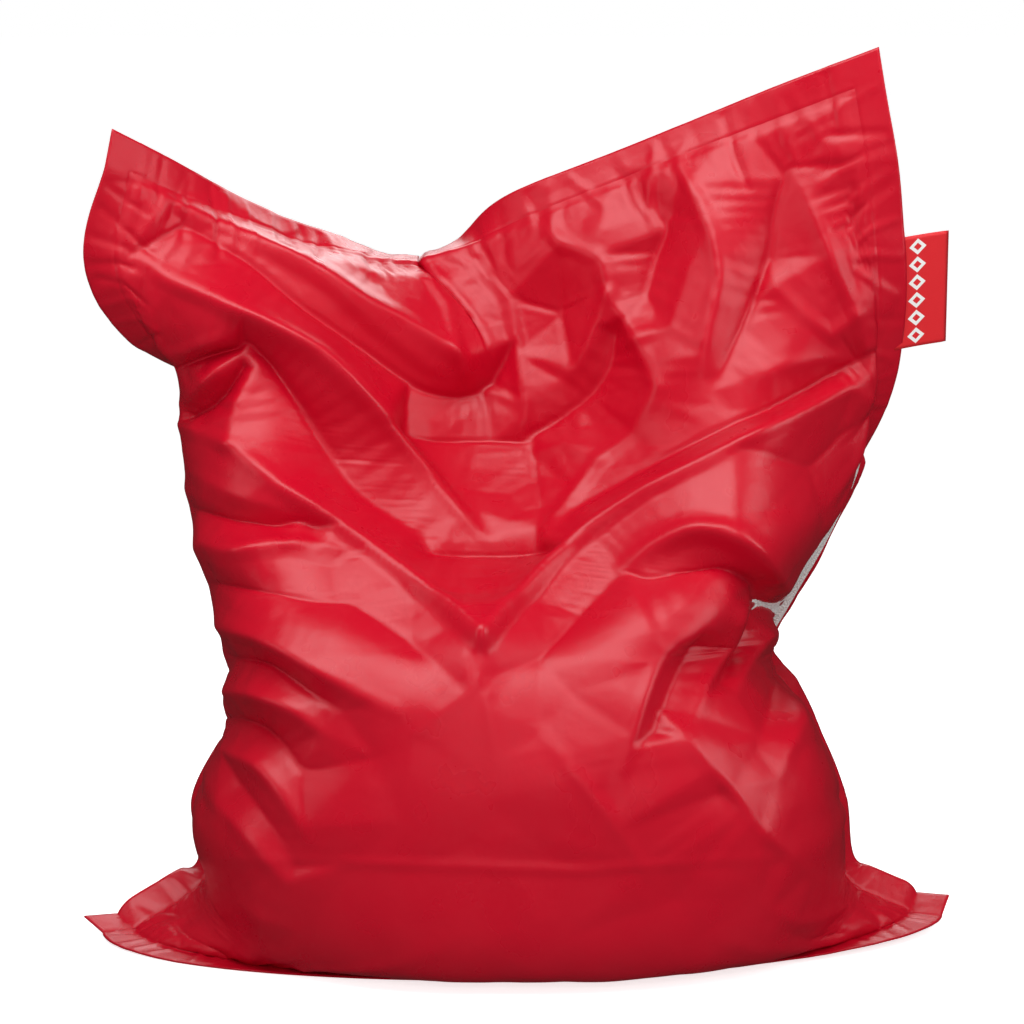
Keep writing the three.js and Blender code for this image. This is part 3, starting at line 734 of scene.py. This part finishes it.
def onCloth(values, x, y):
    # values of a cloth grid between its lines, at flat places in millimetres
    gridX, gridY = clothGrid()
    i = np.interp(x, gridX[0], np.arange(gridX.shape[1]))
    j = np.interp(y, gridY[:, 0], np.arange(gridY.shape[0]))
    left = np.minimum(i.astype(int), gridX.shape[1] - 2)
    low = np.minimum(j.astype(int), gridY.shape[0] - 2)
    across, up = (i - left)[:, None], (j - low)[:, None]
    lower = values[low, left] * (1 - across) + values[low, left + 1] * across
    upper = values[low + 1, left] * (1 - across) + values[low + 1, left + 1] * across
    return lower * (1 - up) + upper * up


# A stitch is a short thread that rises out of the cloth and goes back in.
stitch = {"pitch": 5.4, "length": 4.0, "thread": 0.42, "lift": 0.35, "rings": 4, "sides": 4}


def stitches(name, rows):
    # each row is a path with the cloth's outward direction at each point; a stitch is a
    # ring of points swept along it, lifted by sin(pi t) and drawn in at both ends
    points, faces, count = [], [], 0
    around = np.linspace(0, 2 * math.pi, stitch["sides"], endpoint=False)
    t = np.linspace(0, 1, stitch["rings"])
    for path, outward in rows:
        steps = np.linalg.norm(np.diff(path, axis=0), axis=1)
        run = np.concatenate([[0], np.cumsum(steps)])
        starts = np.arange(0, run[-1] - stitch["length"] * mm, stitch["pitch"] * mm)
        at = starts[:, None] + t * stitch["length"] * mm
        centre = np.stack([np.interp(at, run, path[:, k]) for k in range(3)], -1)
        up = unit(np.stack([np.interp(at, run, outward[:, k]) for k in range(3)], -1))
        along = unit(centre[:, -1:] - centre[:, :1])
        beside = unit(np.cross(along, up))
        centre = centre + up * (np.sin(math.pi * t) * stitch["lift"] * mm)[:, None]
        size = stitch["thread"] * mm * (0.55 + 0.45 * np.sin(math.pi * t))[:, None, None]
        ring = np.cos(around)[:, None] * beside[..., None, :] + np.sin(around)[:, None] * up[..., None, :]
        body = centre[..., None, :] + ring * size
        points.append(body.reshape(-1, 3))
        one = np.arange(stitch["rings"] - 1)[:, None] * stitch["sides"]
        k = np.arange(stitch["sides"])
        after = (k + 1) % stitch["sides"]
        beyond = one + stitch["sides"]
        wall = np.stack([one + k, beyond + k, beyond + after, one + after], -1).reshape(-1, 4)
        caps = np.stack([k, (stitch["rings"] - 1) * stitch["sides"] + k[::-1]])
        each = np.vstack([wall, caps])
        first = count + np.arange(len(starts)) * stitch["rings"] * stitch["sides"]
        faces.append((first[:, None, None] + each).reshape(-1, 4))
        count += len(body.reshape(-1, 3))
    return meshObject(name, np.vstack(points), np.vstack(faces))


def boundary(corners, steps):
    # a closed outline as a line of points, with so many steps to a side
    after = corners[1:] + corners[:1]
    return np.concatenate([np.linspace(a, b, steps, endpoint=False) for a, b in zip(corners, after)])


def stitchLine(panels, past):
    # a closed line round the panel, past the pocket's edge by so many millimetres, on
    # the outer face of each ply
    halfX, top = cloth["pocketWidth"] / 2 + past, cloth["pocketLength"] + past
    spots = boundary([(-halfX, -past), (halfX, -past), (halfX, top), (-halfX, top)], 500)
    rows = []
    for points, outward in panels:
        path = onCloth(points, spots[:, 0], spots[:, 1])
        up = unit(onCloth(outward, spots[:, 0], spots[:, 1]))
        rows.append((path + up * cloth["thick"] / 2 * mm, up))
    return rows


# The zipped closure low on the back: the slot, and the pieces named in the frame.
slot = {"halfX": 262, "halfZ": 8, "margin": 20, "depth": 0.3}  # only cloth behind the depth is cut


def cutSlot(piece):
    # four straight cuts through the field, and the faces inside them taken out
    mesh = bmesh.new()
    mesh.from_mesh(piece.data)
    left, right = (-slot["halfX"] + shift[0]) * mm, (slot["halfX"] + shift[0]) * mm
    low, high = (field["height"] - slot["halfZ"]) * mm, (field["height"] + slot["halfZ"]) * mm

    def within(face, margin):
        c = face.calc_center_median()
        beside = left - margin < c.x < right + margin
        return beside and low - margin < c.z < high + margin and c.y > slot["depth"]

    cuts = [((0, 0, z), (0, 0, 1)) for z in (low, high)] + [((x, 0, 0), (1, 0, 0)) for x in (left, right)]
    for place, normal in cuts:
        faces = [face for face in mesh.faces if within(face, slot["margin"] * mm)]
        sides = list({edge for face in faces for edge in face.edges})
        corners = list({corner for face in faces for corner in face.verts})
        bmesh.ops.bisect_plane(mesh, geom=faces + sides + corners, plane_co=place, plane_no=normal, dist=1e-5)
    inside = [face for face in mesh.faces if within(face, 0)]
    bmesh.ops.delete(mesh, geom=inside, context="FACES")
    mesh.to_mesh(piece.data)
    mesh.free()
    piece.data.shade_smooth()


# The beads, in millimetres and in cells of the cloth grid
beadFill = {"inset": 60, "most": 0.42, "rim": 8, "every": 4, "evened": 2, "floor": 3.5}


def beadBody(front, back):
    # the beads fill the pocket inside the cloth: each panel moved towards the other by the
    # inset or at most a share of the gap, evened out, and joined along one shared rim
    edge = cloth["flangeCells"] + beadFill["rim"]
    inner = (slice(edge, -edge, beadFill["every"]), slice(edge, -edge, beadFill["every"]))
    depth = np.maximum(np.linalg.norm(front - back, axis=-1, keepdims=True), mm)
    inset = (back - front) * np.minimum(beadFill["inset"] * mm / depth, beadFill["most"])
    sides = np.stack([(front + inset)[inner], (back - inset)[inner]])
    shared = sides.mean(0)
    rows, columns = shared.shape[:2]
    onRim = np.zeros((rows, columns), bool)
    onRim[[0, -1]] = onRim[:, [0, -1]] = True
    sides[:, onRim] = shared[onRim]
    sides = paddedBlur(sides, beadFill["evened"])
    sides[..., 2] = np.maximum(sides[..., 2], beadFill["floor"] * mm)
    sides[:, onRim] = sides.mean(0)[onRim]
    faces = np.vstack([gridFaces(rows, columns), gridFaces(rows, columns, True) + rows * columns])
    piece = meshObject("beads", sides.reshape(-1, 3), faces)
    mesh = bmesh.new()
    mesh.from_mesh(piece.data)
    bmesh.ops.remove_doubles(mesh, verts=mesh.verts, dist=1e-6)
    bmesh.ops.recalc_face_normals(mesh, faces=mesh.faces)
    mesh.to_mesh(piece.data)
    mesh.free()
    piece.data.shade_smooth()
    return piece


def clothStrip(name, node, cells, ripple=0.0):
    # a thin strip filling a node's box: an even grid with a small wave in depth
    low, high = nodeBox(node)
    x = np.linspace(low[0], high[0], cells[0] + 1)
    z = np.linspace(low[2], high[2], cells[1] + 1)
    x, z = np.meshgrid(x, z)
    wave = np.sin(x * 61) * np.sin(z * 90 + x * 17) * ripple * mm  # slow waves along and across
    points = np.stack([x, (low[1] + high[1]) / 2 + wave, z], -1)
    uv = np.stack([x, z], -1).reshape(-1, 2)
    piece = meshObject(name, points.reshape(-1, 3), gridFaces(cells[1] + 1, cells[0] + 1, True), uv)
    thicken(piece, high[1] - low[1] - 2 * ripple * mm)
    return piece


coil = {"pitch": 1.6, "wire": 0.36, "steps": 10, "sides": 6}


def zipCoil(name, node, hand):
    # a helix round the coil's middle: its turns are the zip's teeth
    low, high = nodeBox(node)
    turns = int((high[0] - low[0]) / (coil["pitch"] * mm))
    t = np.linspace(0, 1, turns * coil["steps"] + 1)
    turn = 2 * math.pi * turns * t * hand
    wire = coil["wire"] * mm
    centre = (low + high) / 2
    reach = (high - low) / 2 - wire
    path = np.stack([
        low[0] + wire + (high[0] - low[0] - 2 * wire) * t,
        centre[1] + reach[1] * np.sin(turn),
        centre[2] + reach[2] * np.cos(turn)], -1)
    return tube(name, path, wire, coil["sides"])


def tube(name, path, radius, sides):
    # rings square to the path's direction, closed by a point at each end
    along = unit(np.gradient(path, axis=0))
    beside = unit(np.cross(along, np.array([1.0, 0.02, 0.03])))
    up = np.cross(along, beside)
    around = np.linspace(0, 2 * math.pi, sides, endpoint=False)
    ring = np.cos(around)[:, None] * beside[:, None] + np.sin(around)[:, None] * up[:, None]
    points = (path[:, None] + ring * radius).reshape(-1, 3)
    row = np.arange(len(path) - 1)[:, None] * sides
    k = np.arange(sides)
    after = (k + 1) % sides
    wall = np.stack([row + k, row + after, row + sides + after, row + sides + k], -1).reshape(-1, 4)
    first, last = len(points), len(points) + 1
    points = np.vstack([points, path[0], path[-1]])
    end = (len(path) - 1) * sides
    faces = wall.tolist() + np.stack([after, k, 0 * k + first], -1).tolist()
    faces += np.stack([end + k, end + after, 0 * k + last], -1).tolist()
    mesh = bpy.data.meshes.new(name)
    mesh.from_pydata(points.tolist(), [], faces)
    mesh.shade_smooth()
    piece = bpy.data.objects.new(name, mesh)
    bpy.context.scene.collection.objects.link(piece)
    return piece


# The ribbon label is caught in the right side seam and folded back on itself.
label = {
    "low": 0.744,
    "high": 0.857,
    "width": 88,
    "sewnIn": 14,
    "thick": 0.5,
    "fold": 1.1,
    "round": 3,  # how near its outer edge the ribbon starts to turn
    "bow": 1.5,
    "cells": (24, 30),
}


def ribbonLabel(front, back):
    # out from the seam in front, round the fold and back in behind: depth across the two
    # plies follows a half circle at the fold
    y = np.linspace(label["low"], label["high"], label["cells"][1] + 1) * cloth["pocketLength"]
    edge = cloth["pocketWidth"] / 2 + cloth["flange"]
    middle = (front + back) / 2
    root = onCloth(middle, np.full(len(y), edge - label["sewnIn"]), y)
    tip = onCloth(middle, np.full(len(y), edge), y)
    upright = unit(root[-1] - root[0])
    away = unit((tip - root).mean(0))
    away = unit(away - upright * (away @ upright))
    depth = np.cross(upright, away)
    base = root[0] + (root[-1] - root[0]) * np.linspace(0, 1, len(y))[:, None]
    reach = np.linspace(0, label["width"], label["cells"][0] // 2 + 1)
    bow = label["bow"] * np.sin(math.pi * reach / label["width"])
    rounded = np.maximum(0, (reach - label["width"]) / label["round"] + 1)
    gap = label["fold"] * np.sqrt(np.maximum(0, 1 - rounded**2))
    out = np.concatenate([reach, reach[::-1][1:]])
    side = np.concatenate([bow + gap, (bow - gap)[::-1][1:]])
    points = base[:, None] + away * (out * mm)[:, None] + depth * (side * mm)[:, None]
    across = np.concatenate([reach, 2 * label["width"] - reach[::-1][1:]]) / label["width"]
    uv = np.stack(np.meshgrid(across, np.linspace(0, 1, len(y))), -1).reshape(-1, 2)
    piece = meshObject("ribbon_label", points.reshape(-1, 3), gridFaces(len(y), len(out), True), uv)
    thicken(piece, label["thick"] * mm)
    return piece


# Materials. Each is a Principled shader with woven or moulded detail from noise.
def newMaterial(name, roughness=0.5, metallic=0.0):
    material = bpy.data.materials.new(name)
    material.use_nodes = True
    tree = material.node_tree
    shader = tree.nodes["Principled BSDF"]
    shader.inputs["Roughness"].default_value = roughness
    shader.inputs["Metallic"].default_value = metallic
    return material, tree, shader


def calc(tree, operation, first, second=0.0, third=0.0):
    # one Math node: each input is a socket or a number
    node = tree.nodes.new("ShaderNodeMath")
    node.operation = operation
    for socket, value in zip(node.inputs, (first, second, third)):
        if isinstance(value, (int, float)):
            socket.default_value = value
        else:
            tree.links.new(value, socket)
    return node.outputs[0]


def noise(tree, place, scale, detail=2.0, rough=0.5):
    node = tree.nodes.new("ShaderNodeTexNoise")
    node.inputs["Scale"].default_value = scale
    node.inputs["Detail"].default_value = detail
    node.inputs["Roughness"].default_value = rough
    tree.links.new(place, node.inputs["Vector"])
    return node.outputs["Fac"]


def blendColours(tree, share, low, high):
    node = tree.nodes.new("ShaderNodeMix")
    node.data_type = "RGBA"
    tree.links.new(share, node.inputs["Factor"])
    for socket, value in ((node.inputs[6], low), (node.inputs[7], high)):
        if isinstance(value, tuple):
            socket.default_value = (*value, 1)
        else:
            tree.links.new(value, socket)
    return node.outputs[2]


def bump(tree, height, distance, strength=1.0, under=None):
    node = tree.nodes.new("ShaderNodeBump")
    node.inputs["Distance"].default_value = distance
    node.inputs["Strength"].default_value = strength
    tree.links.new(height, node.inputs["Height"])
    if under is not None:
        tree.links.new(under, node.inputs["Normal"])
    return node.outputs["Normal"]


def weave(tree, flat, pitch):
    # threads over and under: the product of two sines, one across and one along
    split = tree.nodes.new("ShaderNodeSeparateXYZ")
    tree.links.new(flat, split.inputs[0])
    turns = [calc(tree, "MULTIPLY", split.outputs[k], 2 * math.pi / pitch) for k in (0, 1)]
    waves = [calc(tree, "SINE", turn) for turn in turns]
    return calc(tree, "MULTIPLY_ADD", calc(tree, "MULTIPLY", *waves), 0.5, 0.5)


def clothMaterial(name, low, high, pitch, roughness, relief, crinkle=0.0, sheen=0.0):
    # woven cloth: colour drifts at random between two tones, and painted shade darkens it
    # between its threads; the relief is the weave on top of slow crinkles
    material, tree, shader = newMaterial(name, roughness)
    place = tree.nodes.new("ShaderNodeTexCoord")
    threads = weave(tree, place.outputs["UV"], pitch)
    drift = noise(tree, place.outputs["Object"], 4, 3)
    # the threads' low places are painted darker: painted shade in the weave, mixed with the random drift
    tone = calc(tree, "MULTIPLY_ADD", threads, 0.25, calc(tree, "MULTIPLY", drift, 0.75))
    tree.links.new(blendColours(tree, tone, low, high), shader.inputs["Base Color"])
    gloss = calc(tree, "MULTIPLY_ADD", noise(tree, place.outputs["Object"], 14, 3), 0.14, roughness - 0.07)
    tree.links.new(gloss, shader.inputs["Roughness"])
    shader.inputs["Sheen Weight"].default_value = sheen
    under = None
    if crinkle:
        slow = noise(tree, place.outputs["Object"], 26, 4, 0.55)
        ridges = calc(tree, "ABSOLUTE", calc(tree, "SUBTRACT", slow, 0.5))
        under = bump(tree, ridges, crinkle)
    tree.links.new(bump(tree, threads, relief, 1.0, under), shader.inputs["Normal"])
    return material


motifShape = {"count": 6, "margin": 0.125, "middle": 0.58, "wide": 2.6, "tall": 0.95, "ring": (0.20, 0.43)}


def labelMaterial():
    # bright ribbon with a row of white lozenge outlines: a lozenge is where the distance
    # across plus the distance along from its centre lies between two bounds
    material, tree, shader = newMaterial("label_red", 0.42)
    place = tree.nodes.new("ShaderNodeTexCoord")
    split = tree.nodes.new("ShaderNodeSeparateXYZ")
    tree.links.new(place.outputs["UV"], split.inputs[0])
    count, margin = motifShape["count"], motifShape["margin"]
    column = calc(tree, "SUBTRACT", calc(tree, "FRACT", split.outputs[0]), motifShape["middle"])
    across = calc(tree, "ABSOLUTE", column)
    step = calc(tree, "MULTIPLY_ADD", split.outputs[1], count + 2 * margin, -margin)
    along = calc(tree, "ABSOLUTE", calc(tree, "SUBTRACT", calc(tree, "FRACT", step), 0.5))
    upwards = calc(tree, "MULTIPLY", along, motifShape["tall"])
    reach = calc(tree, "MULTIPLY_ADD", across, motifShape["wide"], upwards)
    inner, outer = motifShape["ring"]
    underOuter, overInner = calc(tree, "LESS_THAN", reach, outer), calc(tree, "GREATER_THAN", reach, inner)
    ring = calc(tree, "MULTIPLY", underOuter, overInner)
    started, ended = calc(tree, "GREATER_THAN", step, 0.0), calc(tree, "LESS_THAN", step, float(count))
    within = calc(tree, "MULTIPLY", started, ended)
    motif = calc(tree, "MULTIPLY", ring, within)
    fine = weave(tree, place.outputs["Object"], 0.0011)
    # the weave darkens the ribbon's red between its threads: painted shade in the weave
    base = blendColours(tree, fine, (0.66, 0.010, 0.016), (0.78, 0.022, 0.030))
    tree.links.new(blendColours(tree, motif, base, (0.88, 0.87, 0.85)), shader.inputs["Base Color"])
    height = calc(tree, "MULTIPLY_ADD", motif, 0.8, calc(tree, "MULTIPLY", fine, 0.5))
    tree.links.new(bump(tree, height, 0.00025), shader.inputs["Normal"])
    return material


def grainMaterial(name, low, high, scale, roughness, relief, metallic=0.0, sheen=0.0):
    # a finish with an even grain: fuzz, hooks, beads, thread, plastic or plated metal
    material, tree, shader = newMaterial(name, roughness, metallic)
    place = tree.nodes.new("ShaderNodeTexCoord")
    fine = noise(tree, place.outputs["Object"], scale, 3, 0.6)
    tree.links.new(blendColours(tree, fine, low, high), shader.inputs["Base Color"])
    slow = noise(tree, place.outputs["Object"], scale / 6, 2)
    gloss = calc(tree, "MULTIPLY_ADD", slow, 0.16, roughness - 0.08)
    tree.links.new(gloss, shader.inputs["Roughness"])
    tree.links.new(bump(tree, fine, relief), shader.inputs["Normal"])
    shader.inputs["Sheen Weight"].default_value = sheen
    return material


def beadMaterial():
    # packed foam beads: each cell of a Voronoi pattern is one round bead, white at its middle and grey
    # towards its edge, which is painted shade between the beads
    material, tree, shader = newMaterial("beads", 0.7)
    place = tree.nodes.new("ShaderNodeTexCoord")
    cells = tree.nodes.new("ShaderNodeTexVoronoi")
    cells.inputs["Scale"].default_value = 240
    tree.links.new(place.outputs["Object"], cells.inputs["Vector"])
    rounded = calc(tree, "SUBTRACT", 1.0, cells.outputs["Distance"])
    # grey at the cell edges is painted shade between the beads, not their colour
    white = blendColours(tree, rounded, (0.62, 0.62, 0.60), (0.93, 0.93, 0.91))
    tree.links.new(white, shader.inputs["Base Color"])
    tree.links.new(bump(tree, rounded, 0.002), shader.inputs["Normal"])
    return material


# Light: a pale floor, an even white surround and five large soft lamps.
studio = {
    "surround": 0.36,
    "seen": 1.0,
    "mirrored": 0.02,
    "floor": 0.9,
    "floorGlow": 0.72,
    "reach": 300,
    "lamps": {  # place, size, watts, and whether its reflection shows
        "overhead": ((-0.3, -1.2, 3.0), (3.2, 1.6), 62, True),
        "left": ((-3.0, -1.2, 1.6), (1.0, 2.2), 9, True),
        "right": ((3.0, -1.0, 1.8), (1.0, 2.2), 25, True),
        "behind": ((0.0, 3.2, 2.6), (2.6, 1.6), 45, True),
        "front": ((0.3, -4.4, 1.6), (2.6, 2.0), 86, False),
    },
}


def makeStudio():
    world = bpy.data.worlds.new("studio")
    world.use_nodes = True
    tree = world.node_tree
    paths = tree.nodes.new("ShaderNodeLightPath")
    even = studio["surround"]
    seen = calc(tree, "MULTIPLY_ADD", paths.outputs["Is Camera Ray"], studio["seen"] - even, even)
    level = calc(tree, "MULTIPLY_ADD", paths.outputs["Is Glossy Ray"], studio["mirrored"] - even, seen)
    tree.nodes["Background"].inputs["Color"].default_value = (1, 1, 1, 1)
    tree.links.new(level, tree.nodes["Background"].inputs["Strength"])
    bpy.context.scene.world = world
    bpy.context.scene.view_settings.view_transform = "Standard"
    far = studio["reach"]
    corners = [(-far, -far, 0), (far, -far, 0), (far, far, 0), (-far, far, 0)]
    floor = meshObject("floor", corners, [(0, 1, 2, 3)])
    paint, tree, shader = newMaterial("floorPaint", 0.8)
    shader.inputs["Base Color"].default_value = (studio["floor"],) * 3 + (1,)
    shader.inputs["Emission Color"].default_value = (1, 1, 1, 1)
    shader.inputs["Emission Strength"].default_value = studio["floorGlow"]
    floor.data.materials.append(paint)
    floor.visible_glossy = False
    floor.visible_diffuse = False
    for name, (place, size, power, shows) in studio["lamps"].items():
        light = bpy.data.lights.new(name, "AREA")
        light.shape = "RECTANGLE"
        light.size, light.size_y = size
        light.energy = power
        lamp = bpy.data.objects.new(name, light)
        bpy.context.scene.collection.objects.link(lamp)
        toward = view["target"] - np.array(place)
        lamp.location = place
        lamp.visible_glossy = shows
        lamp.rotation_euler = (
            math.atan2(math.hypot(toward[0], toward[1]), -toward[2]), 0, math.atan2(-toward[0], toward[1]))


def place(piece, material, slotName, body, *nodes):
    # one finished piece: its material, its body and what it stands for; the record slot is not used
    piece.data.materials.append(material)
    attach(piece, body)
    if nodes:
        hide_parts(*nodes)
    return piece


def stripEdge(node, inset):
    # a closed line inside the edge of a strip's outer face, with its outward direction
    low, high = nodeBox(node)
    low, high = low + inset * mm, high - inset * mm
    y = nodeBox(node)[1][1]
    corners = [(low[0], y, low[2]), (high[0], y, low[2]), (high[0], y, high[2]), (low[0], y, high[2])]
    path = boundary(corners, 60)
    return path, np.broadcast_to(np.array([0.0, 1.0, 0.0]), path.shape)


def straightRow(start, end):
    path = np.linspace(start, end, 60)
    return path, np.broadcast_to(np.array([0.0, 1.0, 0.0]), path.shape)


makeCamera()
makeStudio()
finish = {
    "nylon": clothMaterial(
        "nylon", (0.46, 0.0009, 0.012), (0.54, 0.0016, 0.018), 0.0012, 0.29, 0.00006, 0.0010),
    "thread": grainMaterial(
        "thread", (0.20, 0.001, 0.006), (0.34, 0.004, 0.014), 900, 0.55, 0.0002, sheen=0.2),
    "label_red": labelMaterial(),
    "zip_tape": clothMaterial("zip_tape", (0.26, 0.001, 0.008), (0.38, 0.003, 0.016), 0.0010, 0.6, 0.0002),
    "zip_coil": grainMaterial("zip_coil", (0.30, 0.001, 0.008), (0.40, 0.004, 0.018), 500, 0.35, 0.00005),
    "zip_metal": grainMaterial(
        "zip_metal", (0.52, 0.52, 0.54), (0.70, 0.70, 0.72), 700, 0.28, 0.00003, metallic=1.0),
    "loop": grainMaterial("loop", (0.24, 0.001, 0.008), (0.46, 0.004, 0.02), 1400, 0.9, 0.0006, sheen=0.4),
    "hook": grainMaterial("hook", (0.26, 0.001, 0.008), (0.42, 0.004, 0.02), 900, 0.6, 0.0005),
    "label_white": clothMaterial(
        "label_white", (0.80, 0.80, 0.78), (0.90, 0.90, 0.88), 0.0009, 0.4, 0.00008),
    "beads": beadMaterial(),
}
frontCloth, backCloth = makeCloth()

frontPanel = clothPanel("front_cloth", frontCloth, False)
backPanel = clothPanel("back_cloth", backCloth, True)
cutSlot(backPanel)
for piece, node in ((frontPanel, "front_panel"), (backPanel, "back_panel")):
    thicken(piece, cloth["thick"] * mm)
    place(piece, finish["nylon"], "nylon", "bag", node)
beads = place(beadBody(frontCloth, backCloth), finish["beads"], "beads", "bag", "bead_fill")
print("panels and beads done")

faces = [(frontCloth, normals(frontCloth)), (backCloth, -normals(backCloth))]
place(stitches("edge_stitches", stitchLine(faces, 44)), finish["thread"], "thread", "bag", "edge_stitching")
place(stitches("seam_stitches", stitchLine(faces, 12)), finish["thread"], "thread", "bag", "seam_stitching")
ribbon = place(ribbonLabel(frontCloth, backCloth), finish["label_red"], "label_red", "bag", "side_label")
print("stitching and label done")

for name, node in (("upper_tape", "zip_upper_tape"), ("lower_tape", "zip_lower_tape")):
    place(clothStrip(name, node, (120, 4)), finish["zip_tape"], "zip_tape", "bag", node)
for name, node, hand in (("upper_coil", "zip_upper_coil", 1), ("lower_coil", "zip_lower_coil", -1)):
    place(zipCoil(name, node, hand), finish["zip_coil"], "zip_coil", "bag", node)
strips = {  # each strip's node, finish, body, and cells across and up
    "loop_tape": ("loop_strip", "loop", "bag", (130, 4)),
    "hook_tape": ("hook_strip", "hook", "flap", (130, 4)),
    "care_tag": ("care_label", "label_white", "bag", (8, 10)),
    "hem_strip": ("flap_hem", "nylon", "bag", (140, 4)),
}
for name, (node, slotName, body, cells) in strips.items():
    place(clothStrip(name, node, cells), finish[slotName], slotName, body, node)
flapCloth = clothStrip("flap_cloth", "closure_flap", (160, 20), 0.2)
flapSheet = place(flapCloth, finish["nylon"], "nylon", "flap", "closure_flap")
flapRows = [stripEdge("closure_flap", inset) for inset in (4, 7)]
place(stitches("flap_stitches", flapRows), finish["thread"], "thread", "flap")
hemLow, hemHigh = nodeBox("flap_hem")
hemEnds = (hemLow[0] + 3 * mm, hemHigh[0] - 3 * mm)
hemLevels = (hemLow[2] + 2.5 * mm, hemHigh[2] - 2.5 * mm)
hemRows = [straightRow(*[(x, hemHigh[1], z) for x in hemEnds]) for z in hemLevels]
place(stitches("hem_stitches", hemRows), finish["thread"], "thread", "bag")
rowLow, rowHigh = nodeBox("zip_stitching")
zipEnds = (rowLow[0], rowHigh[0])
zipRows = [straightRow(*[(x, rowLow[1], z) for x in zipEnds]) for z in (rowLow[2], rowHigh[2])]
place(stitches("zip_stitches", zipRows), finish["thread"], "thread", "bag", "zip_stitching")
for node in ("zip_slider", "zip_left_stop", "zip_right_stop"):
    metal = bpy.data.objects[node]
    metal.data.materials.clear()
    metal.data.materials.append(finish["zip_metal"])
print("closure done")
